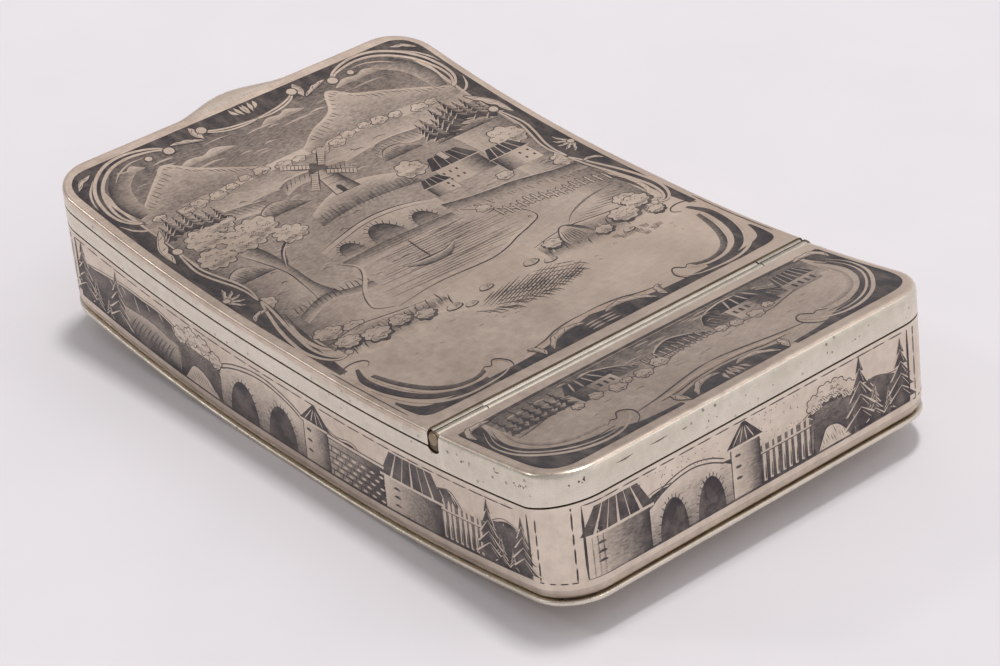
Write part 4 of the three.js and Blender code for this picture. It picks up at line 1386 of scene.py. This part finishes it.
def cover_frame_scrolls(art):
    """Bright scrolls, leaves and a fan on the frame's ground."""
    art.leaf(at(-23.9, 29.2, -23.5, 27.6, -22.3, 27.1, -20.6, 27.1), 0.7, 3, LEAF, side=-1)
    art.stroke(at(-22.6, 28.5, -23.8, 31, -24.0, 33, -23.5, 35.2, -22.1, 37.3, -20.1, 39.1, -17.6, 40.1,
                  -15.1, 40.1, -13.1, 39.2, -11.8, 37.8, -11.9, 36.9, -12.6, 36.7),
               (0.2, 0.4, 0.46, 0.42, 0.26), 0.0, LEAF)
    art.stroke(at(-22.2, 28.7, -23.2, 31, -23.4, 33, -22.9, 35.0, -21.5, 37.0, -19.5, 38.6, -17.2, 39.4,
                  -15, 39.4, -13.4, 38.6), (0.14, 0.26, 0.3, 0.22), 0.0, LEAF)
    art.stroke(at(-21.9, 28.9, -22.7, 31, -22.9, 33, -22.3, 35, -20.9, 36.8, -19.1, 38.0, -16.8, 38.7,
                  -14.4, 38.6), (0.16, 0.3, 0.3, 0.2), 0.95, LINE)
    art.field(at(-21.6, 30.0, -22.0, 32.6, -21.3, 35.0, -19.6, 36.8, -17.0, 37.6, -14.6, 37.6),
              at(-21.3, 30.2, -21.4, 32.6, -20.6, 34.6, -19.1, 36.0, -17.0, 36.8, -14.8, 37.0),
              0.55, 0.05, UNDER, 0.6)
    art.stroke(at(-14.8, 38.0, -13.8, 37.3, -13.3, 37.6, -12.4, 36.5, -11.5, 36.9, -11.2, 38.0, -11.9, 39.4,
                  -13.2, 40.3), 0.16, 0.95, BUD)
    art.stroke(at(-11.4, 38.3, -8.1, 37.8, -4.6, 37.0, -1.6, 36.4, 0, 36.3), 0.2, 0.9, BED, 0.2)
    art.stroke(at(-9.4, 38.6, -6.4, 38.2, -3.4, 37.5, 0, 37.2), (0.1, 0.36, 0.3), 0.0, LEAF, 0.2)
    art.stroke(at(-8.4, 38.7, -5.8, 38.55, -3.2, 37.95, 0, 37.7), 0.14, 0.9, LINE, 0.2)
    art.leaf(at(-6.6, 41.0, -7.3, 39.8, -7.2, 38.6), 0.8, 2, LINE)
    art.leaf(at(-5.6, 41.0, -4.2, 39.6, -2.6, 39.0, -1.0, 39.2), 0.7, 3, LINE, side=-1)
    for n, high in enumerate((2.1, 1.9, 1.5)):
        art.stroke(at(0.1 - 0.8 * n, 41.0, 0.1 - 0.7 * n, 40.0, 0.05 - 0.5 * n, 41.1 - high),
                   (0.18, 0.44, 0.2), 0.04, LINE, 0.3)


def on_cover(u, v, lift):
    """The drawing follows the first of the rounding round the cover's flat top."""
    inset = min(HALF_WIDTH - abs(u), HALF_LENGTH - v)
    fall = 0.0
    for (out, drop), (further, lower) in zip(COVER_RIM, COVER_RIM[1:]):
        if -further <= inset <= -out:
            fall = drop + (lower - drop) * (inset + out) / (out - further)
    return v, u, TOP + fall + lift


cover_art = Drawing(19)
cover_wash(cover_art)
drawn_before = len(cover_art.points)
for part in (cover_hills, cover_firs, cover_barn, cover_fence, cover_houses):
    part(cover_art)

# The countryside is stretched towards the plain silver
for n in range(drawn_before, len(cover_art.points)):
    u, v, lift = cover_art.points[n]
    cover_art.points[n] = (u, COVER_TOP + 1.3 * (v - COVER_TOP), lift)

cover_art.mirror = True
cover_frame_ground(cover_art)
cover_frame_scrolls(cover_art)
COVER_SLABS = range(27, 41)
cover_art.piece("cover_engraving", on_cover, "body", COVER_SLABS, (0, 1, 0), ENGRAVED_SILVER)

# Walls: one drawing round the box, u along the wall from the start of the long side at -Y, v minus the height
LONG = 2 * (HALF_LENGTH - CORNER)
SHORT = 2 * (HALF_WIDTH - CORNER)
TURN = CORNER * math.pi / 2
AROUND = 2 * (LONG + SHORT + 2 * TURN)
FRIEZE_LOW = 2.6
BASE = -FRIEZE_LOW


def brick_wall(art, left, right, high):
    """A low wall of stones under a coping."""
    art.upright(left, right, BASE, -high, 0.35, 1.0, 3)
    rows = round((high - FRIEZE_LOW - 0.5) / 0.72)
    for row in range(rows + 1):
        v = BASE - row * 0.72
        art.line(across(left, right, v), 0.14, 0.95, 4)
        for n in range(int((right - left) / 1.5) + 1):
            u = left + 0.3 + 1.5 * n + 0.75 * (row % 2)
            if u < right - 0.4 and row < rows:
                art.line(at(u, v, u + 0.22, v - 0.7), 0.13, 0.95, 4)
                art.stroke(at(u + 0.4, v - 0.32, u + 1.2, v - 0.36), (0.1, 0.34, 0.1), 0.0, 5, 0.2)
    left, right = left - 0.1, right + 0.1
    art.strip(across(left, right, -high), across(left, right, -high - 0.42), 0.0, 0.0, 5)
    art.line(across(left, right, -high), 0.13, 0.95, 6)
    art.line(across(left, right, -high - 0.45), 0.12, 0.9, 6)


def paling(art, left, right, high):
    """Pointed boards over a dark ground."""
    art.strip(across(left, right, BASE), across(left, right, -high + 0.5), 0.98, 0.8, 3)
    count = max(2, round((right - left) / 0.82))
    for n in range(count):
        u = left + (right - left) * (n + 0.5) / count
        lean = 0.1 * math.sin(2.3 * n)
        shoulder = -high + 0.45
        board = at(u - 0.22, BASE - 0.25, u + 0.18, BASE - 0.2, u + 0.22 + lean, shoulder, u + lean, -high,
                   u - 0.2 + lean, shoulder)
        art.fill(board, 0.04, 4)
        grain = at(u + 0.06, BASE - 0.3, u + 0.07, BASE - 1.0, u + 0.1, BASE - 2.1)
        art.stroke(grain, (0.24, 0.1), 0.9, 5, 0.2)
    art.line(across(left, right, -high + 1.3), 0.22, 0.1, 6)
    art.line(across(left, right, -high + 1.45), 0.1, 0.95, 7)


def tower(art, left, right, high):
    """A tower with a shaded round wall under a pointed cap."""
    middle = (left + right) / 2
    top = -high + 2.3
    art.upright(left, middle, BASE, top, 0.0, 0.3, 3)
    art.upright(middle, right, BASE, top, 0.3, 1.0, 3)
    art.line(at(left, BASE, left, top), 0.13, 0.95, 4)
    art.fill(at(left - 0.5, top, right + 0.5, top, middle + 0.25, -high, middle - 0.25, -high), 0.97, 4)
    for k in range(4):
        u = left - 0.2 + (right - left) * (k + 0.5) / 4
        art.stroke(at(u, top - 0.1, u + (middle - u) * 0.8, -high + 0.5), 0.12, 0.1, 5, 0.1, curved=False)
    art.line(across(left - 0.6, right + 0.6, top + 0.08), 0.24, 0.0, 6)
    for n in range(3):
        v = top + 1.0 + 1.25 * n
        art.stroke(at(left + 0.5, v, left + 1.3, v + 0.08), 0.3, 0.95, 6, 0.2, curved=False)


def bridge(art, left, right, high):
    """A bridge on two arches over dark water."""
    wide = right - left
    deck = smooth(at(left, -high + 1.9, left + 0.2 * wide, -high + 0.7, (left + right) / 2, -high,
                     right - 0.2 * wide, -high + 0.7, right, -high + 1.9), 0.6)
    art.strip(deck, brought_to(deck, BASE), 0.05, 0.7, 3)
    art.stroke(moved(deck[::4], 0, -0.5), 0.14, 0.95, 4, 0.03)
    art.stroke(deck[::4], 0.16, 0.95, 4, 0.03)
    for share in (0.27, 0.73):
        u = left + share * wide
        arch = arch_of(u, BASE, 0.17 * wide, high - FRIEZE_LOW - 1.9, 14)
        outer = arch_of(u, BASE, 0.17 * wide * 1.2, high - FRIEZE_LOW - 1.5, 14)
        art.strip(arch, brought_to(arch, BASE), 1.0, 0.92, 5)
        for stone in list(zip(arch, outer))[1:-1]:
            art.line(stone, 0.12, 0.9, 5)
    for _ in range(26):
        u = art.rng.uniform(left + 0.8, right - 1.2)
        v = BASE - art.rng.uniform(0.4, high - FRIEZE_LOW - 1.4)
        art.line(across(u, u + 0.5, v), 0.1, 0.6, 4)


def cottage(art, left, right, high):
    """A cottage with a dark roof in broad bands."""
    eaves = 3.0 - high
    wide = right - left
    art.box(left - 0.1, right + 0.1, BASE, eaves, 0.95, 3)
    third = right - wide * 0.45
    art.upright(right, third, BASE, eaves, 1.0, 0.6, 4)
    art.upright(third, left, BASE, eaves, 0.6, 0.0, 4)
    art.strip(across(left - 0.5, right + 0.5, eaves), across(left + 1.2, right - 1.2, -high), 0.97, 0.9, 4)
    for n in range(1, 6):
        low = left - 0.5 + (wide + 1) * n / 6
        ridge = left + 1.2 + (wide - 2.4) * n / 6
        band = at(low, eaves, (low + ridge) / 2, (eaves - high) / 2, ridge, -high)
        art.line(band, (0.34, 0.1) if n % 2 else (0.12, 0.06), 0.05, 5)
    art.line(across(left - 0.6, right + 0.6, eaves + 0.12), 0.3, 0.0, 6)
    u = left + wide * 0.22
    for v in (eaves + 1.2, eaves + 2.2, eaves + 3.2):
        art.stroke(at(u - 0.6, v, u, v - 0.12, u + 0.5, v), 0.32, 0.95, 6, 0.3)


def thicket(art, left, right, high):
    """A bank of round bushes over dark ground, with a light mound in front."""
    wide = right - left
    art.strip(across(left, right, BASE), across(left + 0.6, right - 0.6, -high + 2.2), 1.0, 0.78, 3)
    count = max(3, round(wide / 1.7))
    for n in range(count):
        u = left + 0.7 + (wide - 1.4) * n / (count - 1)
        rise = math.sin(math.pi * (n + 0.6) / count)
        art.blob((u, -high + 2.1 - 1.4 * rise), 1.05 + 0.25 * rise, 0.85, 7, 0.05, 4)
    mound = smooth(at(left + 0.8, BASE, left + 0.35 * wide, BASE - 2.3, left + 0.65 * wide, BASE - 1.9,
                      right - 0.6, BASE), 0.5)
    art.fill(mound, 0.05, 8)
    art.stroke(mound[::3], 0.15, 0.95, 9, 0.03)
    art.hatch(mound, 68, 0.34, 0.1, 0.8, 9, 0.5)


def meadow(art, left, right, high):
    """Furrows in a field under an open sky."""
    top = smooth(at(left, -high + 3.4, (left + right) / 2, -high + 2.9, right, -high + 3.5), 0.6)
    art.strip(top, brought_to(top, BASE), 0.3, 1.0, 3)
    art.stroke(top[::4], 0.13, 0.9, 4, 0.03)
    for n in range(int((right - left) / 0.7)):
        u = left + 0.5 + 0.7 * n
        if u + 1.7 < right:
            art.stroke(at(u, BASE - 0.1, u + 0.7, BASE - 1.6, u + 1.7, -high + 3.9), (0.34, 0.1), 0.9, 4, 0.1)


def wood(art, left, right, high):
    """A row of firs before a dark wood."""
    trees = smooth(at(left, BASE - 4.2, 0.6 * left + 0.4 * right, BASE - 5.0, right, BASE - 3.4), 0.5)
    art.strip(brought_to(trees, BASE), trees, 1.0, 0.86, 2)
    count = max(2, round((right - left) / 1.9))
    for n in range(count):
        tall = high * (0.72 + 0.28 * math.cos(1.9 * n)) - FRIEZE_LOW
        fir(art, left + (right - left) * (n + 0.5) / count, FRIEZE_LOW, tall, 3)


def dashed_frame(art, start, stop, top):
    """A firm line below, a dashed one above and two lines at each end."""
    art.stroke(across(start, stop, BASE + 0.05), 0.24, 0.95, 9, 0.01, curved=False)
    for n in range(int((stop - start) / 2.4)):
        u = start + 2.4 * n
        art.stroke(across(u, u + art.rng.uniform(1.9, 2.5), -top), 0.13, 0.95, 3, 0.1, curved=False)
    for u in (start - 0.1, stop + 0.1):
        art.stroke(at(u, BASE + 0.1, u + 0.03, -top), 0.26, 1.0, 9, 0.2, curved=False)
    for u in (start - 1.15, stop + 1.15):
        v = BASE + 0.1
        while v > -top + 0.3:
            size = art.rng.uniform(1.0, 2.6)
            art.stroke(at(u, v, u + 0.05, max(v - size, -top)), 0.17, 1.0, 3, 0.1, curved=False)
            v -= size + art.rng.uniform(0.1, 0.3)


def distant_hills(art, start, width):
    """A hatched ridge behind the parts of a panel."""
    steps = int(width / 3)
    ridge = smooth([(start + width * n / steps, -art.rng.uniform(5.6, 8.6)) for n in range(steps + 1)], 0.8)
    middle = [(u, 0.55 * v + 0.45 * BASE) for u, v in ridge]
    art.strip(ridge, middle, 1.0, 0.72, 1)
    art.strip(middle, brought_to(ridge, BASE), 0.72, 0.4, 1)
    art.stroke(moved(ridge[::4], 0, -0.28), 0.11, 0.8, 2, 0.02)
    for u, v in ridge[2:-2:3]:
        size = art.rng.uniform(0.6, 2.0)
        art.stroke(at(u, v + 0.1, u + 0.3, v + size / 2, u + 0.7, v + size), 0.12, 0.05, 2, 0.2)


def speckled_sky(art, left, right, low, high):
    """Small punched dots."""
    for _ in range(int((right - left) * (high - low) * 1.6)):
        u, v = art.rng.uniform(left, right), -art.rng.uniform(low, high)
        art.fill(at(u - 0.08, v, u, v - 0.07, u + 0.08, v, u, v + 0.07), 0.8, 1)


def panel(art, start, width, top, plan, dots):
    """A framed strip of countryside from its parts, given as (part, share of the width, height)."""
    dashed_frame(art, start, start + width, top)
    distant_hills(art, start, width)
    for low, high in dots:
        speckled_sky(art, start + low * width, start + high * width, 7.2, top - 0.3)
    left = start
    for part, share, tall in plan:
        right = left + share * width
        part(art, left, right, tall)
        left = right


NEAR_TOP, END_TOP = 9.9, 10.75
SIDE_PLAN = ((wood, 0.11, 9.6), (meadow, 0.13, 9.4), (thicket, 0.10, 9.2), (bridge, 0.19, 8.9),
             (tower, 0.055, 9.8), (brick_wall, 0.12, 7.0), (cottage, 0.12, 9.6), (paling, 0.085, 7.4),
             (wood, 0.09, 9.4))
NEAR_END_PLAN = ((cottage, 0.18, 10.3), (bridge, 0.25, 8.6), (tower, 0.09, 10.6), (paling, 0.16, 7.4),
                 (thicket, 0.14, 9.6), (wood, 0.18, 10.4))
BACK_PLAN = ((cottage, 0.12, 9.6), (thicket, 0.11, 9.2), (paling, 0.12, 7.2), (wood, 0.12, 9.6),
             (brick_wall, 0.11, 7.0), (bridge, 0.18, 8.9), (meadow, 0.12, 9.4), (cottage, 0.12, 9.6))
FAR_END_PLAN = ((thicket, 0.18, 9.2), (meadow, 0.2, 9.6), (cottage, 0.2, 10.2), (brick_wall, 0.2, 7.0),
                (wood, 0.22, 10.2))

# The four panels, each as (start, width, height, plan, dotted parts of its sky)
PANELS = ((-0.4, 75.9, NEAR_TOP, SIDE_PLAN, ()),
          (LONG + TURN - 2.2, 43.3, END_TOP, NEAR_END_PLAN, ((0.14, 0.4), (0.5, 0.66))),
          (LONG + SHORT + 2 * TURN - 0.1, 75.8, NEAR_TOP, BACK_PLAN, ()),
          (2 * LONG + SHORT + 3 * TURN - 0.8, 42.4, END_TOP, FAR_END_PLAN, ((0.6, 0.78),)))
wall_art = Drawing(31)
for start, width, top, plan, dots in PANELS:
    panel(wall_art, start, width, top, plan, dots)

# Short dashes round the foot of each corner
for corner in (LONG, LONG + SHORT + TURN, 2 * LONG + SHORT + 2 * TURN, 2 * LONG + 2 * SHORT + 3 * TURN):
    for n in range(4):
        u = corner + 0.9 + 1.1 * n
        dash = across(u, u + wall_art.rng.uniform(0.5, 1.0), BASE + 0.1)
        wall_art.stroke(dash, 0.13, 1.0, 3, 0.1, curved=False)

# Marks of wear on the upright side of the cover's rim, as (place along the wall, height, size)
NEAR_SIDE, NEAR_END = LONG / 2, LONG + TURN + SHORT / 2
PITS = {
    NEAR_SIDE: ((28.6, 12.85, 0.2), (28.9, 12.95, 0.12), (36.5, 13.0, 0.14), (37.2, 12.8, 0.12),
                (37.5, 12.95, 0.2), (37.9, 12.85, 0.16), (38.3, 13.15, 0.14)),
    NEAR_END: ((-23.6, 13.25, 0.14), (-22.6, 13.4, 0.2), (-22.1, 13.5, 0.26), (-22.3, 13.2, 0.13),
               (-6.4, 12.7, 0.13), (-5.3, 12.62, 0.1), (2.2, 12.75, 0.1), (9.7, 13.0, 0.12),
               (10.4, 12.8, 0.16), (13.6, 12.8, 0.12), (14.2, 12.9, 0.1)),
}
SCRATCHES = ((NEAR_END - 17.2, 13.52, 2.2), (NEAR_END - 12.8, 13.5, 2.4), (NEAR_END - 9.5, 13.3, 0.8),
             (NEAR_SIDE + 34.0, 13.4, 0.9))


def worn_pit(art, u, v, size):
    """One pit with two smaller ones beside it."""
    for radius, away in ((0.55 * size, 0), (0.3 * size, 1), (0.3 * size, 1)):
        turn, far = art.rng.uniform(0, math.tau), away * art.rng.uniform(0.3, 1.1) * size
        centre_u, centre_v = u + far * math.cos(turn), v + far * math.sin(turn)
        ring = [(centre_u + radius * a * art.rng.uniform(0.7, 1.2), centre_v + radius * b)
                for a, b in round_of(0, 0, 1, 8)]
        art.fill(ring, 0.97, 2)


marks = Drawing(43)
for middle, pits in PITS.items():
    for u, h, size in pits:
        worn_pit(marks, middle + u, -h, size)
for u, h, far in SCRATCHES:
    marks.stroke(at(u - far / 2, -h, u, -h + 0.05, u + far / 2, -h - 0.04), (0.06, 0.16, 0.08), 0.85, 2, 0.3)


def on_wall(u, v, lift):
    """A place on the wall, a way along its outline. The way's second half is the first one turned round."""
    u %= AROUND
    sign = 1 if u < AROUND / 2 else -1
    u %= AROUND / 2
    if u < LONG:
        s, y = u - LONG / 2, -HALF_WIDTH - lift
    elif LONG + TURN <= u < LONG + TURN + SHORT:
        s, y = HALF_LENGTH + lift, u - LONG - TURN - SHORT / 2
    else:
        first = u < LONG + TURN
        angle = (u - LONG) / CORNER - math.pi / 2 if first else (u - LONG - TURN - SHORT) / CORNER
        s = HALF_LENGTH - CORNER + (CORNER + lift) * math.cos(angle)
        y = (HALF_WIDTH - CORNER) * (-1 if first else 1) + (CORNER + lift) * math.sin(angle)
    return sign * s, sign * y, -v


CORNER_STEPS = 14
SIDE_STEP = 3


def corner_cuts(start):
    """Cuts across one rounded corner."""
    return [start + TURN * n / CORNER_STEPS for n in range(CORNER_STEPS + 1)]


wall_slabs = []
for first in (0, AROUND / 2):
    wall_slabs += [first + SIDE_STEP * n for n in range(math.ceil(LONG / SIDE_STEP))]
    wall_slabs += corner_cuts(first + LONG) + corner_cuts(first + LONG + TURN + SHORT)
wall_slabs += [-TURN * n / CORNER_STEPS for n in range(CORNER_STEPS // 2 + 1)]
marks.piece("rim_pits", on_wall, "body", corner_cuts(LONG), (1, 0, 0), ENGRAVED_WALL, "worn_silver")
wall_art.piece("wall_engraving", on_wall, "body", wall_slabs, (1, 0, 0), ENGRAVED_WALL)

# Camera at the photograph's place, from a fit to the box's edges
CAMERA_AT = Vector((0.22822, -0.17803, 0.18222))
CAMERA_TARGET = Vector((0.00652, -0.00112, 0.007))
CAMERA_ROLL = math.radians(-4.04)
FOCAL_PIXELS = 3158.6
PHOTO_PIXELS = 1000
SENSOR = 36
SHIFT = (-0.0071, 0.0098)
camera_data = bpy.data.cameras.new("camera")
camera_data.sensor_width = SENSOR
camera_data.lens = FOCAL_PIXELS / PHOTO_PIXELS * SENSOR
camera_data.shift_x, camera_data.shift_y = SHIFT
camera = bpy.data.objects.new("camera", camera_data)
bpy.context.scene.collection.objects.link(camera)
look = (CAMERA_TARGET - CAMERA_AT).to_track_quat("-Z", "Y")
camera_turn = look.to_matrix().to_4x4() @ Matrix.Rotation(CAMERA_ROLL, 4, "Z")
camera.matrix_world = Matrix.Translation(CAMERA_AT) @ camera_turn
bpy.context.scene.camera = camera
bpy.context.scene.view_settings.view_transform = "Standard"

# Floor of white paper
FLOOR_HALF = 3
paper = bpy.data.materials.new("paper")
paper.use_nodes = True
paper_shader = paper.node_tree.nodes["Principled BSDF"]
paper_shader.inputs["Roughness"].default_value = 0.9
paper_shader.inputs["Specular IOR Level"].default_value = 0.05
paper_place = node_in(paper.node_tree, "ShaderNodeTexCoord").outputs["Object"]
paper_cloud = ramp(paper.node_tree, noise(paper.node_tree, paper_place, 0.05, 3), 0.3, 0.7)
paper_colour = blended(paper.node_tree, paper_cloud, (0.80, 0.767, 0.785), (0.775, 0.744, 0.762))
give(paper.node_tree, paper_shader.inputs["Base Color"], paper_colour)
floor_mesh = bpy.data.meshes.new("floor")
floor_corners = [(a * FLOOR_HALF, b * FLOOR_HALF, 0) for a, b in ((-1, -1), (1, -1), (1, 1), (-1, 1))]
floor_mesh.from_pydata(floor_corners, [], [(0, 1, 2, 3)])
floor_mesh.materials.append(paper)
floor = bpy.data.objects.new("floor", floor_mesh)
bpy.context.scene.collection.objects.link(floor)

# World: even white, softly darker round three directions; each zone has its direction, start, end and change
WORLD_COLOUR = (0.98, 0.965, 0.985)
WORLD_LEVEL = 0.87
ZONES = (((-0.67, -0.52, 0.42), 0.74, 0.97, -0.5), ((-0.62, 0.53, 0.58), 0.55, 0.97, -0.34),
         ((0.25, -0.72, 0.66), 0.3, 0.93, -0.38))
world = bpy.data.worlds.new("world")
world.use_nodes = True
backdrop = world.node_tree.nodes["Background"]
view_way = node_in(world.node_tree, "ShaderNodeTexCoord").outputs["Generated"]
level = WORLD_LEVEL
for way, start, full, change in ZONES:
    facing = along(world.node_tree, view_way, Vector(way).normalized())
    level = worked_out(world.node_tree, "ADD", ramp(world.node_tree, facing, start, full, 0, change), level)
give(world.node_tree, backdrop.inputs["Color"], WORLD_COLOUR)
give(world.node_tree, backdrop.inputs["Strength"], level)
bpy.context.scene.world = world


def area_light(name, place, size, power):
    """A square soft box that looks at the middle of the floor."""
    data = bpy.data.lights.new(name, "AREA")
    data.energy = power
    data.size = size
    light = bpy.data.objects.new(name, data)
    light.location = place
    light.rotation_euler = (-Vector(place)).to_track_quat("-Z", "Y").to_euler()
    bpy.context.scene.collection.objects.link(light)


area_light("key", (-0.15, 0.6, 3.1), 0.5, 43.0)
area_light("far", (1.6, 1.8, 2.4), 0.7, 3.0)
area_light("side", (-2.15, -1.85, 1.95), 0.35, 9.0)
